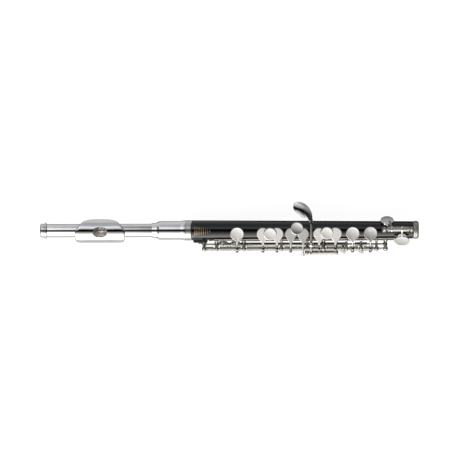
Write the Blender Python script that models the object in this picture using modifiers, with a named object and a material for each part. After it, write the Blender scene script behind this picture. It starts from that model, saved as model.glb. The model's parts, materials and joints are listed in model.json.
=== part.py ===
"""Piccolo with a silver head joint, a conical black body and Boehm keywork.

Lengths below are in millimetres and MM turns them into metres. +X runs from the crown
to the foot, +Z is the side of the tone holes and the lip plate, and -Y is the player's
side, where the key rods lie. An angle "round" a tube is measured from +Z towards -Y.
X = 0 is the crown's end and the tube's axis is Y = Z = 0 until the root empty moves the
whole instrument so that the origin lies under its middle, on the table.
"""

import bpy
import bmesh
import math
from mathutils import Matrix, Vector

MM = 0.001
GAP = 0.3                       # clearance between pieces that touch or turn in each other

# Overall layout
LENGTH = 321.8
HEAD_END = 123.4                # open end of the head joint's socket
BODY_START = 128.2              # shoulder of the black body
BODY_END = 317.0
SIDE_SHIFT = 2.44               # middle of the overall width, from the tube's axis
REST_HEIGHT = 13.6              # tube's axis above the table: it lies on the thumb posts

# Head joint
HEAD_R = 5.74
HEAD_BORE_R = 5.35
EMBOUCHURE_X = 51.2
EMBOUCHURE = (10.8, 8.6)        # along and across the tube
STOPPER_FACE_X = 43.5
SOCKET_R = 7.78
SOCKET_BORE_R = 7.2
LIP_PLATE_R = 10.5              # outer radius of the lip plate's curve
LIP_PLATE_DROP = 0.6            # its centre lies below the tube's axis

# Body
BODY_R = (8.6, 7.35)            # outer radius at the shoulder and at the foot
BORE_R = (5.35, 4.25)           # conical bore, head end and foot end
TENON_START = 102.0
TENON_R = 6.3
CORK_R = 6.95
FOOT_R = 7.6

# Key cups and pads
TRILL_CUP_R = 3.9
SEAT_RISE = 0.6                 # tone-hole rim above the body's surface
PAD_THICK = 1.2
CUP_HEIGHT = 1.7
CUP_WALL = 0.6
TOUCH_R = 5.3

# Rods: (y, z) of each axis
MAIN_ROD = (-15.0, 5.5)
TRILL_ROD = (-13.0, -4.0)
SIDE_ROD = (-19.1, 1.0)         # G sharp
THUMB_ROD = (-10.0, -11.6)
FOOT_ROD = (2.8, 11.5)          # E flat
STEEL_R = 0.9
TUBE_BORE_R = 1.2
TUBE_R = 1.9
TRILL_TUBE_R = 1.7
TRILL_STEEL_R = 0.85
BALL_R = 2.2
STEM_R = 1.0

# How far each sort of key stands open at rest
MAIN_OPEN = 7.0
THUMB_OPEN = 6.0

# Main-rod keys: name, cup's x and radius, key tube's start and end
MAIN_KEYS = [
    ("c_sharp", 167.4, 5.7, 152.6, 170.6),
    ("b_flat", 189.4, 5.3, 175.6, 192.0),
    ("a", 201.3, 5.3, 192.3, 202.6),
    ("g_upper", 213.0, 4.8, 207.6, 218.9),
    ("g_lower", 223.4, 4.9, 219.2, 228.5),
    ("f_sharp", 237.1, 5.0, 228.8, 238.3),
    ("f", 250.9, 5.3, 243.3, 257.7),
    ("e", 265.5, 5.7, 262.7, 270.2),
    ("d", 280.6, 5.7, 275.2, 283.3),
]
# Raised finger touches on three of them: x, y
TOUCHES = {"a": (195.4, 0.0), "g_upper": (218.4, 4.2), "f": (243.8, 0.0)}

# The other holes: x, angle round the body, cup radius
THUMB_HOLE = (178.3, 165.0, 5.4)
G_SHARP_HOLE = (221.4, 172.0, 5.4)
E_FLAT_HOLE = (294.8, -64.0, 5.6)
D_SHARP_TRILL_HOLE = (155.7, 82.0, TRILL_CUP_R)
D_TRILL_HOLE = (166.2, 82.0, TRILL_CUP_R)

# The rib that carries the posts: its ends, and its edges' angles round the body
RIB_START, RIB_END = 143.5, 300.7
RIB_EDGES = (44.0, 58.0)
RIB_THICK = 0.9
RIB_FOOT_ANGLE = 57.0           # where the main rod's posts stand on it
MAIN_POSTS = [150.0, 173.1, 205.1, 240.8, 260.2, 272.7, 285.8, 293.5]
TRILL_POSTS = [(150.0, BALL_R, TUBE_BORE_R), (173.1, 2.7, 2.0), (240.8, 2.7, 2.0),
               (293.5, BALL_R, TUBE_BORE_R)]
SIDE_POSTS = [226.8, 251.8]
UPPER_POST_X = 139.5
SLEEVE_END = 147.5              # plain tube on the main rod between its first two posts
THUMB_POSTS = [173.5, 201.5]
FOOT_POSTS = [292.6, 315.6]

MODEL = "piccolo"

# Sides given to round shapes, from the body down to lever arms
FINE, ROUND, SMALL, TINY = 28, 16, 10, 8


# ------------------------------------------------------------------ scene and helpers

def start_scene():
    """Empty the scene and return the collection for the model."""
    for item in list(bpy.data.objects):
        bpy.data.objects.remove(item, do_unlink=True)
    model = bpy.data.collections.new(MODEL)
    bpy.context.scene.collection.children.link(model)
    return model


def make_material(name, colour, roughness, metallic):
    material = bpy.data.materials.new(name)
    material.use_nodes = True
    shader = material.node_tree.nodes["Principled BSDF"]
    shader.inputs["Base Color"].default_value = (*colour, 1.0)
    shader.inputs["Roughness"].default_value = roughness
    shader.inputs["Metallic"].default_value = metallic
    material.diffuse_color = (*colour, 1.0)
    return material


def add_object(data, name="piece"):
    item = bpy.data.objects.new(name, data)
    COLLECTION.objects.link(item)
    return item


def bake(item):
    """Turn an object with modifiers, or a curve, into a plain closed mesh object."""
    bpy.context.view_layer.update()
    evaluated = item.evaluated_get(bpy.context.evaluated_depsgraph_get())
    mesh = bpy.data.meshes.new_from_object(evaluated)
    shape = bmesh.new()
    shape.from_mesh(mesh)
    bmesh.ops.remove_doubles(shape, verts=shape.verts, dist=0.00001)
    bmesh.ops.recalc_face_normals(shape, faces=shape.faces)
    shape.to_mesh(mesh)
    shape.free()
    baked = add_object(mesh)
    baked.matrix_world = item.matrix_world
    bpy.data.objects.remove(item, do_unlink=True)
    return baked


def move_mesh(item, matrix):
    item.data.transform(matrix)
    return item


def direction(angle):
    """Unit vector across the tube, at an angle from +Z towards -Y."""
    turn = math.radians(angle)
    return Vector((0.0, -math.sin(turn), math.cos(turn)))


def point(x, y, z):
    return Vector((x, y, z)) * MM


def along(start, way):
    """Matrix that takes local +Z to the given direction, at the given start."""
    return Matrix.Translation(start) @ way.to_track_quat("Z", "Y").to_matrix().to_4x4()


def turned(profile, segments=FINE, closed=True):
    """Turn a profile of (distance along +Z, radius) points round the Z axis."""
    mesh = bpy.data.meshes.new("profile")
    points = [(radius * MM, 0.0, height * MM) for height, radius in profile]
    edges = [(i, i + 1) for i in range(len(points) - 1)]
    if closed:
        edges.append((len(points) - 1, 0))
    mesh.from_pydata(points, edges, [])
    item = add_object(mesh)
    screw = item.modifiers.new("Screw", "SCREW")
    screw.steps = segments
    screw.render_steps = segments
    screw.use_merge_vertices = True
    screw.merge_threshold = 0.00001
    return bake(item)


def turned_x(profile, segments=FINE, closed=True):
    """A turned piece on the tube's axis; the profile's first number is X."""
    return move_mesh(turned(profile, segments, closed), Matrix.Rotation(math.radians(90.0), 4, "Y"))


def rod(start, end, radius, segments=SMALL, end_radius=None):
    """A round bar or a cone between two points given in millimetres."""
    first, last = Vector(start) * MM, Vector(end) * MM
    shape = bmesh.new()
    far = radius if end_radius is None else end_radius
    bmesh.ops.create_cone(shape, cap_ends=True, segments=segments, radius1=radius * MM,
                          radius2=far * MM, depth=(last - first).length)
    mesh = bpy.data.meshes.new("rod")
    shape.to_mesh(mesh)
    shape.free()
    return move_mesh(add_object(mesh), along((first + last) / 2.0, (last - first).normalized()))


def rod_x(line, start, end, radius, segments=SMALL):
    """A round bar along X on the rod axis (y, z)."""
    return rod((start, *line), (end, *line), radius, segments)


def ball(centre, radius, segments=TINY):
    shape = bmesh.new()
    bmesh.ops.create_uvsphere(shape, u_segments=segments, v_segments=segments // 2,
                              radius=radius * MM)
    mesh = bpy.data.meshes.new("ball")
    shape.to_mesh(mesh)
    shape.free()
    return move_mesh(add_object(mesh), Matrix.Translation(Vector(centre) * MM))


def box(low, high):
    shape = bmesh.new()
    bmesh.ops.create_cube(shape, size=1.0)
    mesh = bpy.data.meshes.new("box")
    shape.to_mesh(mesh)
    shape.free()
    size = (Vector(high) - Vector(low)) * MM
    middle = (Vector(high) + Vector(low)) * MM / 2.0
    return move_mesh(add_object(mesh), Matrix.Translation(middle) @ Matrix.Diagonal((*size, 1.0)))


def arm(points, radii):
    """A tapering round lever arm through the points."""
    curve = bpy.data.curves.new("arm", "CURVE")
    curve.dimensions = "3D"
    curve.bevel_depth = MM
    curve.bevel_resolution = 1
    curve.use_fill_caps = True
    spline = curve.splines.new("POLY")
    spline.points.add(len(points) - 1)
    for knot, place, radius in zip(spline.points, points, radii):
        knot.co = (*(Vector(place) * MM), 1.0)
        knot.radius = radius
    return bake(add_object(curve))


def flat_plate(outline, low, high, smooth=False):
    """A plate with the given (x, y) outline between two heights; smooth rounds its corners."""
    curve = bpy.data.curves.new("plate", "CURVE")
    curve.dimensions = "2D"
    curve.fill_mode = "BOTH"
    curve.extrude = (high - low) * MM / 2.0
    if smooth:
        spline = curve.splines.new("BEZIER")
        spline.resolution_u = 4
        spline.bezier_points.add(len(outline) - 1)
        for knot, place in zip(spline.bezier_points, outline):
            knot.co = (place[0] * MM, place[1] * MM, 0.0)
            knot.handle_left_type = knot.handle_right_type = "AUTO"
    else:
        spline = curve.splines.new("POLY")
        spline.points.add(len(outline) - 1)
        for knot, place in zip(spline.points, outline):
            knot.co = (place[0] * MM, place[1] * MM, 0.0, 1.0)
    spline.use_cyclic_u = True
    plate = bake(add_object(curve))
    return move_mesh(plate, Matrix.Translation((0.0, 0.0, (high + low) * MM / 2.0)))


def oval(middle, size, count=20, power=2.0):
    """Outline of an oval; a power above 2 makes it squarer."""
    outline = []
    for i in range(count):
        turn = 2.0 * math.pi * i / count
        c, s = math.cos(turn), math.sin(turn)
        outline.append((middle[0] + size[0] / 2.0 * math.copysign(abs(c) ** (2.0 / power), c),
                        middle[1] + size[1] / 2.0 * math.copysign(abs(s) ** (2.0 / power), s)))
    return outline


def combine(base, others, operation):
    """Boolean the others into or out of the base, and remove them."""
    for other in others:
        step = base.modifiers.new("Boolean", "BOOLEAN")
        step.operation = operation
        step.object = other
    result = bake(base)
    for other in others:
        bpy.data.objects.remove(other, do_unlink=True)
    return result


def joined(*pieces):
    return combine(pieces[0], pieces[1:], "UNION")


def cut(base, *cutters):
    return combine(base, cutters, "DIFFERENCE")


def common(base, *others):
    return combine(base, others, "INTERSECT")


def finish(item, name, material, parent):
    """Name a piece, give it its material and hang it on its parent empty."""
    item.name = name
    item.data.name = name
    item.data.materials.clear()
    item.data.materials.append(material)
    item.data.shade_smooth()
    item.data.set_sharp_from_angle(angle=math.radians(35.0))
    item.parent = parent
    offset = Vector(parent.location) if parent != ROOT else Vector((0.0, 0.0, 0.0))
    item.location = -offset
    return item


def pivot(name, line, x, parent=None, open_angle=0.0):
    """An empty on a joint's axis; its X turn stands the key open."""
    empty = bpy.data.objects.new(name + "_axis", None)
    COLLECTION.objects.link(empty)
    empty.location = point(x, *line)
    empty.rotation_euler.x = math.radians(open_angle)
    empty.parent = parent or ROOT
    return empty


# ------------------------------------------------------------------ shared shapes

def body_radius(x):
    share = (x - BODY_START) / (BODY_END - BODY_START)
    return BODY_R[0] + (BODY_R[1] - BODY_R[0]) * share


def seat_height(x):
    return body_radius(x) + SEAT_RISE


def cup_top(x):
    return seat_height(x) + GAP + 0.4 + CUP_HEIGHT


def cup(x, angle, radius, dish=0.0):
    """A key cup over its tone hole, closed: a shallow lid with room for the pad."""
    base = seat_height(x) + GAP + 0.4
    inner = radius - CUP_WALL
    roof = base + CUP_HEIGHT - CUP_WALL
    top = base + CUP_HEIGHT
    profile = [(top - dish, 0.0), (top - dish * 0.6, radius * 0.55), (top, radius - 1.0),
               (top - 0.4, radius), (base, radius), (base, inner), (roof, inner), (roof, 0.0)]
    lid = turned(profile, ROUND, closed=False)
    return move_mesh(lid, along(point(x, 0.0, 0.0), direction(angle)))


def pad(name, x, angle, radius, parent):
    low = seat_height(x) + GAP
    profile = [(low + PAD_THICK, 0.0), (low + PAD_THICK, radius - 1.1), (low + 0.3, radius - 0.9),
               (low, radius - 1.3), (low, 0.0)]
    disc = turned(profile, ROUND, closed=False)
    move_mesh(disc, along(point(x, 0.0, 0.0), direction(angle)))
    return finish(disc, name + "_pad", PAD_SKIN, parent)


def key_on_tube(name, shapes, line, start, end, radius, bore, parent):
    """Join a key's shapes to its tube and clear the tube's bore."""
    tube = rod_x(line, start, end, radius)
    key = joined(tube, *shapes)
    key = cut(key, rod_x(line, start - 1.0, end + 1.0, bore))
    return finish(key, name, SILVER, parent)


def post(foot, line, x, hole, ball_radius=BALL_R, stem=STEM_R):
    """A post: tapering stem from its foot to a ball with a hole for the rod."""
    head = ball((x, *line), ball_radius)
    leg = rod((x, *foot), (x, *line), stem * 1.25, TINY, stem * 0.8)
    return joined(head, leg), rod_x(line, x - 4.0, x + 4.0, hole, TINY)


# ------------------------------------------------------------------ head joint

def build_head(head, crown, stopper):
    tube = turned_x([(5.9, HEAD_R), (5.9, HEAD_BORE_R), (100.8, HEAD_BORE_R), (100.8, HEAD_R)])
    hole = flat_plate(oval((EMBOUCHURE_X, 0.0), EMBOUCHURE), 0.0, 12.0)
    finish(cut(tube, hole), "head_tube", SILVER, head)

    socket = turned_x([(95.0, 6.5), (99.0, 6.7), (100.4, SOCKET_R), (119.7, SOCKET_R), (122.3, 8.6),
                       (HEAD_END, 8.6), (HEAD_END, SOCKET_BORE_R), (101.3, SOCKET_BORE_R),
                       (101.3, HEAD_R + GAP), (95.0, HEAD_R + GAP)])
    finish(socket, "head_socket", SILVER, head)

    axis = Matrix.Translation((0.0, 0.0, -LIP_PLATE_DROP * MM))
    inner = LIP_PLATE_R - 1.0
    shell = turned_x([(25.0, LIP_PLATE_R), (75.0, LIP_PLATE_R), (75.0, inner), (25.0, inner)], 40)
    move_mesh(shell, axis)
    outline = flat_plate(lip_plate_outline(), 0.3, 12.0)
    blow_hole = flat_plate(oval((EMBOUCHURE_X, 0.0), EMBOUCHURE), 0.0, 12.0)
    finish(cut(common(shell, outline), blow_hole), "lip_plate", SILVER, head)

    chimney = flat_plate(oval((EMBOUCHURE_X, 0.0), (EMBOUCHURE[0] + 2.0, EMBOUCHURE[1] + 2.0)),
                         1.0, 12.0)
    under_plate = move_mesh(rod((30.0, 0.0, 0.0), (70.0, 0.0, 0.0), inner - GAP, FINE), axis)
    chimney = common(chimney, under_plate)
    blow_hole = flat_plate(oval((EMBOUCHURE_X, 0.0), EMBOUCHURE), 0.0, 12.0)
    chimney = cut(chimney, blow_hole, rod((30.0, 0.0, 0.0), (70.0, 0.0, 0.0), HEAD_R + GAP, FINE))
    finish(chimney, "riser", SILVER, head)

    cap = turned_x([(0.5, 0.0), (0.5, 3.0), (0.0, 4.6), (0.0, 5.2), (0.6, 5.9), (3.6, 5.9),
                    (3.8, 6.6), (4.2, 7.0), (5.0, 7.0), (5.6, 6.4), (5.6, 5.0), (12.0, 5.0),
                    (12.0, 1.3), (1.6, 1.3), (1.6, 0.0)], 24, closed=False)
    finish(cap, "crown_cap", SILVER, crown)

    plug = turned_x([(27.5, 5.05), (42.2, 5.05), (42.2, 1.3), (27.5, 1.3)], ROUND)
    finish(plug, "stopper_cork", CORK, stopper)
    screw = turned_x([(2.9, 0.0), (2.9, 1.0), (24.6, 1.0), (24.6, 4.6), (27.2, 4.6), (27.2, 1.0),
                      (42.5, 1.0), (42.5, 5.0), (STOPPER_FACE_X, 5.0), (STOPPER_FACE_X, 0.0)],
                     ROUND, closed=False)
    finish(screw, "stopper_screw", STEEL, stopper)


# Half the lip plate's length at each distance across the tube, from the player's edge
LIP_PLATE_HALVES = [(-10.45, 16.2), (-10.2, 17.6), (-9.4, 19.0), (-8.2, 20.1), (-5.7, 20.9),
                    (-2.0, 21.1), (0.4, 21.1), (2.5, 20.4), (6.5, 17.5), (9.1, 14.1), (10.0, 9.8),
                    (10.35, 7.0)]


def lip_plate_outline():
    """Rounded outline, wide on the player's side and narrower beyond the blow hole."""
    right = [(EMBOUCHURE_X + half, across) for across, half in LIP_PLATE_HALVES]
    left = [(EMBOUCHURE_X - half, across) for across, half in reversed(LIP_PLATE_HALVES)]
    return right + left


# ------------------------------------------------------------------ body

def hole_cutter(x, angle, radius):
    way = direction(angle)
    start = Vector((x, 0.0, 0.0))
    return rod(start, start + way * 14.0, radius, TINY)


def seat(x, angle, radius):
    way = direction(angle)
    start = Vector((x, 0.0, 0.0))
    return rod(start + way * 4.0, start + way * seat_height(x), radius, SMALL)


def build_body():
    solid = turned_x([(TENON_START, 0.0), (TENON_START, TENON_R), (BODY_START + GAP, TENON_R),
                      (BODY_START + GAP, BODY_R[0]), (BODY_END, BODY_R[1]), (BODY_END, 0.0)],
                     closed=False)
    block = box((130.2, -10.3, -3.4), (142.4, -5.0, 3.4))
    holes = [(x, 0.0, radius) for _, x, radius, _, _ in MAIN_KEYS]
    holes += [THUMB_HOLE, G_SHARP_HOLE, E_FLAT_HOLE, D_SHARP_TRILL_HOLE, D_TRILL_HOLE]
    seats = [seat(x, angle, radius - 1.5) for x, angle, radius in holes]
    solid = joined(solid, block, *seats)
    cutters = [hole_cutter(x, angle, 0.5 * radius) for x, angle, radius in holes]
    bore = rod((TENON_START - 1.0, 0.0, 0.0), (BODY_END + 1.0, 0.0, 0.0), BORE_R[0], FINE, BORE_R[1])
    finish(cut(solid, *cutters, bore), "body_tube", BLACK, ROOT)

    cork = turned_x([(104.0, CORK_R), (120.5, CORK_R), (120.5, TENON_R + GAP),
                     (104.0, TENON_R + GAP)])
    finish(cork, "tenon_cork", CORK, ROOT)
    ring = turned_x([(HEAD_END + GAP, 8.5), (HEAD_END + 0.8, 8.65), (BODY_START, 8.65),
                     (BODY_START, TENON_R + GAP), (HEAD_END + GAP, TENON_R + GAP)])
    finish(ring, "body_ring", SILVER, ROOT)
    foot = turned_x([(BODY_END + GAP, FOOT_R), (320.4, FOOT_R), (LENGTH, 6.7), (LENGTH, BORE_R[1]),
                     (BODY_END + GAP, BORE_R[1])])
    finish(foot, "foot_ring", SILVER, ROOT)


def rib_foot(x):
    """Where a post for the main rod stands on the rib, as (y, z)."""
    foot = direction(RIB_FOOT_ANGLE) * (body_radius(x) + 1.0)
    return foot.y, foot.z


def build_rib():
    """A strip that follows the body's side; the posts stand on it."""
    low = (body_radius(RIB_START) + 0.4, body_radius(RIB_END) + 0.4)
    shell = turned_x([(RIB_START, low[0]), (RIB_START, low[0] + RIB_THICK),
                      (RIB_END, low[1] + RIB_THICK), (RIB_END, low[1])], 60)
    half = body_radius(RIB_START) * math.tan(math.radians(RIB_EDGES[1] - RIB_EDGES[0]) / 2.0)
    wedge = box((RIB_START - 1.0, -half, 5.0), (RIB_END + 1.0, half, 14.0))
    middle = math.radians(sum(RIB_EDGES) / 2.0)
    return common(shell, move_mesh(wedge, Matrix.Rotation(middle, 4, "X")))


def build_posts():
    pieces, holes = [], []
    for x in MAIN_POSTS:
        made, hole = post(rib_foot(x), MAIN_ROD, x, TUBE_BORE_R)
        pieces.append(made)
        holes.append(hole)
    for x, ball_radius, hole_radius in TRILL_POSTS:
        foot = (-(body_radius(x) + 1.0), 4.2)
        made, hole = post(foot, TRILL_ROD, x, hole_radius, ball_radius)
        pieces.append(made)
        holes.append(hole)
    for x in SIDE_POSTS:
        made, hole = post(rib_foot(x), SIDE_ROD, x, TUBE_BORE_R, 2.0)
        pieces.append(made)
        holes.append(hole)
    finish(cut(joined(build_rib(), *pieces), *holes), "key_rib", SILVER, ROOT)

    base = box((UPPER_POST_X - 5.0, -11.6, -2.4), (UPPER_POST_X + 2.0, -10.6, 2.9))
    upper_main, unused = post((-11.2, 1.6), MAIN_ROD, UPPER_POST_X, TUBE_BORE_R)
    bpy.data.objects.remove(unused, do_unlink=True)
    upper_trill, trill_hole = post((-11.2, -1.2), TRILL_ROD, UPPER_POST_X, TUBE_BORE_R)
    sleeve = rod_x(MAIN_ROD, UPPER_POST_X, SLEEVE_END, TUBE_R)
    main_hole = rod_x(MAIN_ROD, UPPER_POST_X - 4.0, SLEEVE_END + 1.0, TUBE_BORE_R)
    finish(cut(joined(base, upper_main, upper_trill, sleeve), main_hole, trill_hole),
           "upper_post", SILVER, ROOT)

    lone_posts = [("thumb_post", THUMB_POSTS, THUMB_ROD), ("foot_post", FOOT_POSTS, FOOT_ROD)]
    for name, places, line in lone_posts:
        way = Vector((0.0, *line)).normalized()
        for number, x in enumerate(places, 1):
            base_r = body_radius(x) + GAP + 0.15
            flange = rod(Vector((x, 0, 0)) + way * base_r, Vector((x, 0, 0)) + way * (base_r + 0.8),
                         2.3)
            foot = way * (base_r + 0.4)
            made, hole = post((foot.y, foot.z), line, x, TUBE_BORE_R, 2.0)
            finish(cut(joined(flange, made), hole), f"{name}_{number}", SILVER, ROOT)


def build_steels():
    steels = [("main_steel", MAIN_ROD, 137.6, 295.5), ("side_steel", SIDE_ROD, 225.2, 253.4),
              ("thumb_steel", THUMB_ROD, 171.8, 203.2), ("foot_steel", FOOT_ROD, 290.9, 317.3)]
    for name, line, start, end in steels:
        finish(rod_x(line, start, end, STEEL_R), name, STEEL, ROOT)


# ------------------------------------------------------------------ keys

def touch(x, y, height):
    profile = [(0.6, 0.0), (0.8, TOUCH_R * 0.6), (1.1, TOUCH_R - 0.5), (0.9, TOUCH_R),
               (0.2, TOUCH_R), (0.0, TOUCH_R - 0.6), (0.0, 0.0)]
    disc = turned(profile, ROUND, closed=False)
    return move_mesh(disc, Matrix.Translation(point(x, y, height)))


def build_main_keys():
    for name, x, radius, start, end in MAIN_KEYS:
        axis = pivot(name + "_key", MAIN_ROD, x, open_angle=MAIN_OPEN)
        top = cup_top(x)
        side = top - CUP_HEIGHT / 2.0
        dish = 0.5 if name in ("c_sharp", "e", "d") else 0.2
        tail = -21.2 if name == "g_lower" else -17.4
        shapes = [cup(x, 0.0, radius, dish),
                  arm([(x, -radius + 0.35, side), (x, -8.0, side), (x, -11.5, side - 0.8),
                       (x, -15.2, 7.3), (x, tail, 5.4)], [1.0, 1.5, 1.2, 1.0, 1.0])]
        if name in TOUCHES:
            touch_x, touch_y = TOUCHES[name]
            high = top + 0.6
            post_x = min(max(touch_x, start + 1.3), end - 1.3)
            shapes.append(touch(touch_x, touch_y, high))
            shapes.append(arm([(touch_x, touch_y - 3.0, high + 0.8), (touch_x, -6.0, high + 0.8),
                               (post_x, -12.0, top - 0.6), (post_x, *MAIN_ROD)],
                              [0.7, 0.9, 1.1, 1.0]))
        key_on_tube(name + "_key", shapes, MAIN_ROD, start, end, TUBE_R, TUBE_BORE_R, axis)
        pad(name, x, 0.0, radius, axis)


# The little finger's spoon lever, seen from above: a leaf that curls back from its stem
SPOON = [(229.3, 9.5), (231.4, 11.5), (230.2, 17.6), (223.7, 25.0), (216.4, 25.5), (215.3, 20.0),
         (222.5, 12.8), (227.3, 11.2)]


def build_side_keys():
    x, angle, radius = G_SHARP_HOLE
    axis = pivot("g_sharp_key", SIDE_ROD, x)
    top = cup_top(x)
    stem_x = 230.3
    under = direction(angle) * (top + 0.3)
    stem = arm([(stem_x, *SIDE_ROD), (stem_x, -18.6, 7.2), (stem_x, -15.5, 10.2),
                (stem_x, -9.0, 11.8), (stem_x, 0.0, 12.9), (stem_x, 8.0, 12.0),
                (stem_x - 1.2, 13.5, 10.2)], [1.1, 1.1, 1.1, 1.1, 1.1, 1.1, 1.0])
    tail = arm([(stem_x + 1.0, *SIDE_ROD), (stem_x, -18.6, -5.0), (227.5, -13.5, -11.3),
                (x + 2.0, -5.5, -11.9), (x, under.y, under.z)], [1.1, 1.1, 1.1, 1.0, 0.8])
    knob = ball((stem_x, -10.6, 11.4), 2.1)
    spoon = flat_plate(SPOON, 9.0, 10.2, smooth=True)
    key_on_tube("g_sharp_key", [cup(x, angle, radius), stem, tail, knob, spoon],
                SIDE_ROD, 229.1, 249.5, TUBE_R, TUBE_BORE_R, axis)
    pad("g_sharp", x, angle, radius, axis)

    x, angle, radius = THUMB_HOLE
    axis = pivot("thumb_b_key", THUMB_ROD, x, open_angle=-THUMB_OPEN)
    face = direction(angle) * (cup_top(x) + 0.2)
    shapes = [cup(x, angle, radius, 0.4),
              arm([(x, *THUMB_ROD), (x, -7.5, -12.0), (x, face.y, face.z)], [1.0, 1.0, 0.8])]
    key_on_tube("thumb_b_key", shapes, THUMB_ROD, 175.9, 185.0, 1.7, TUBE_BORE_R, axis)
    pad("thumb_b", x, angle, radius, axis)

    lever_x = 191.6
    axis = pivot("thumb_b_flat_lever", THUMB_ROD, lever_x, open_angle=-THUMB_OPEN)
    plate = flat_plate(oval((lever_x, -2.6), (9.0, 9.4), power=2.6), -11.6, -10.4)
    shapes = [plate, arm([(lever_x, *THUMB_ROD), (lever_x, -7.0, -11.2), (lever_x, -3.5, -10.9)],
                         [1.0, 1.0, 0.8])]
    key_on_tube("thumb_b_flat_lever", shapes, THUMB_ROD, 185.3, 199.1, 1.7, TUBE_BORE_R, axis)

    x, angle, radius = E_FLAT_HOLE
    axis = pivot("e_flat_key", FOOT_ROD, x)
    face = direction(angle) * (cup_top(x) + 0.2)
    oval_touch = flat_plate(oval((307.4, -8.0), (12.9, 8.2), power=2.3), 9.0, 10.2)
    shapes = [cup(x, angle, radius), oval_touch,
              arm([(298.6, *FOOT_ROD), (297.6, 7.0, 10.6), (x, face.y, face.z)], [1.15, 1.1, 0.8]),
              arm([(307.4, *FOOT_ROD), (307.4, -2.5, 11.4), (307.4, -6.5, 9.9)], [1.1, 1.2, 1.0])]
    key_on_tube("e_flat_key", shapes, FOOT_ROD, 295.0, 313.2, 2.35, TUBE_BORE_R, axis)
    pad("e_flat", x, angle, radius, axis)


def trill_shapes(x, angle, touch_x):
    """Cup, cup arm and outboard finger touch of a trill key."""
    face = direction(angle) * (cup_top(x) + 0.2)
    reach = arm([(x, *TRILL_ROD), (x, -12.3, -1.0), (x, face.y, face.z)], [1.0, 1.0, 0.8])
    lever = arm([(touch_x, *TRILL_ROD), (touch_x, -16.3, -2.9), (touch_x, -18.2, -1.2)],
                [1.0, 1.0, 0.8])
    plate = flat_plate(oval((touch_x, -18.8), (3.6, 4.9), 12, 2.6), -1.4, 0.0)
    return [cup(x, angle, TRILL_CUP_R), reach, lever, plate]


def build_trill_keys():
    x, angle, radius = D_TRILL_HOLE
    axis = pivot("d_trill_key", TRILL_ROD, x)
    key_on_tube("d_trill_key", trill_shapes(x, angle, 257.6), TRILL_ROD, 161.2, 261.5,
                TRILL_TUBE_R, TRILL_STEEL_R + GAP, axis)
    pad("d_trill", x, angle, radius, axis)

    x, angle, radius = D_SHARP_TRILL_HOLE
    axis = pivot("d_sharp_trill_key", TRILL_ROD, x)
    shapes = trill_shapes(x, angle, 272.9)
    shapes.append(rod_x(TRILL_ROD, 152.6, 160.9, TRILL_TUBE_R))
    shapes.append(rod_x(TRILL_ROD, 268.0, 278.0, TRILL_TUBE_R))
    shaft = rod_x(TRILL_ROD, 137.8, 295.3, TRILL_STEEL_R)
    finish(joined(shaft, *shapes), "d_sharp_trill_key", SILVER, axis)
    pad("d_sharp_trill", x, angle, radius, axis)


# ------------------------------------------------------------------ whole instrument

COLLECTION = start_scene()
SILVER = make_material("silver", (0.78, 0.77, 0.75), 0.25, 1.0)
STEEL = make_material("steel", (0.55, 0.55, 0.56), 0.3, 1.0)
BLACK = make_material("black_resin", (0.015, 0.015, 0.018), 0.2, 0.0)
CORK = make_material("cork", (0.62, 0.42, 0.24), 0.85, 0.0)
PAD_SKIN = make_material("pad_skin", (0.82, 0.74, 0.6), 0.6, 0.0)

ROOT = bpy.data.objects.new(MODEL + "_frame", None)
COLLECTION.objects.link(ROOT)
ROOT.location = point(-LENGTH / 2.0, -SIDE_SHIFT, REST_HEIGHT)

head_axis = pivot("head", (0.0, 0.0), HEAD_END)
crown_axis = pivot("crown", (0.0, 0.0), 5.8)
stopper_axis = pivot("stopper", (0.0, 0.0), STOPPER_FACE_X)

build_head(head_axis, crown_axis, stopper_axis)
build_body()
build_posts()
build_steels()
build_main_keys()
build_side_keys()
build_trill_keys()
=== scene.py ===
"""Looks for the piccolo: fine surfaces, materials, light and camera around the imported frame.

Shapes are written in millimetres from the crown's end on the tube's axis, with +X to the
foot, +Z out of the tone holes and -Y towards the player. spot() turns such a place into
the frame's metres. Rod axes, key angles and cup places are read from the frame.
"""

import json
from math import asin, copysign, cos, pi, radians, sin, sqrt

import bpy
import bmesh
from mathutils import Matrix, Vector


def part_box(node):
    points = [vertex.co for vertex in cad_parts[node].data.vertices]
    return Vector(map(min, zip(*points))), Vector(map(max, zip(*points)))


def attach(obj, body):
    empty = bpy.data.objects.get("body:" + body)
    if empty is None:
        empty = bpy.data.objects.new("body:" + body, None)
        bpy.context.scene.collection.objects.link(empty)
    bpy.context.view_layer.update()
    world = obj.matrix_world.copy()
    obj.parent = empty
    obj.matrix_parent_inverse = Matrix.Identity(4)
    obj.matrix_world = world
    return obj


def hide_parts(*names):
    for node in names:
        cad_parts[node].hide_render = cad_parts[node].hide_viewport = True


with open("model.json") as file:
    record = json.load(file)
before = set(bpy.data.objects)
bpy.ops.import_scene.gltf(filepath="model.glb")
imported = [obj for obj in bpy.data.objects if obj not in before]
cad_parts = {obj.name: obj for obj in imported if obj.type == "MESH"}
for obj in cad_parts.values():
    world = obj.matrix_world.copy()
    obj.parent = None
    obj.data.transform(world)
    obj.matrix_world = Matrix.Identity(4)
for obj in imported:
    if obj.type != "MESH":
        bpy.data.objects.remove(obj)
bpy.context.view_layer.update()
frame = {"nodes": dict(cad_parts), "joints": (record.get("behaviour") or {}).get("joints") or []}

MM = 0.001
JOINTS = {joint["name"]: joint for joint in frame["joints"]}


# ---------------- places in the frame

def find_origin():
    """The crown's end on the tube's axis, in the frame's metres."""
    low, high = (Vector(corner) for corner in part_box("foot_ring"))
    crown_low = Vector(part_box("crown_cap")[0])
    return Vector((crown_low.x, (low.y + high.y) / 2.0, (low.z + high.z) / 2.0))


ORIGIN = find_origin()


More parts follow.
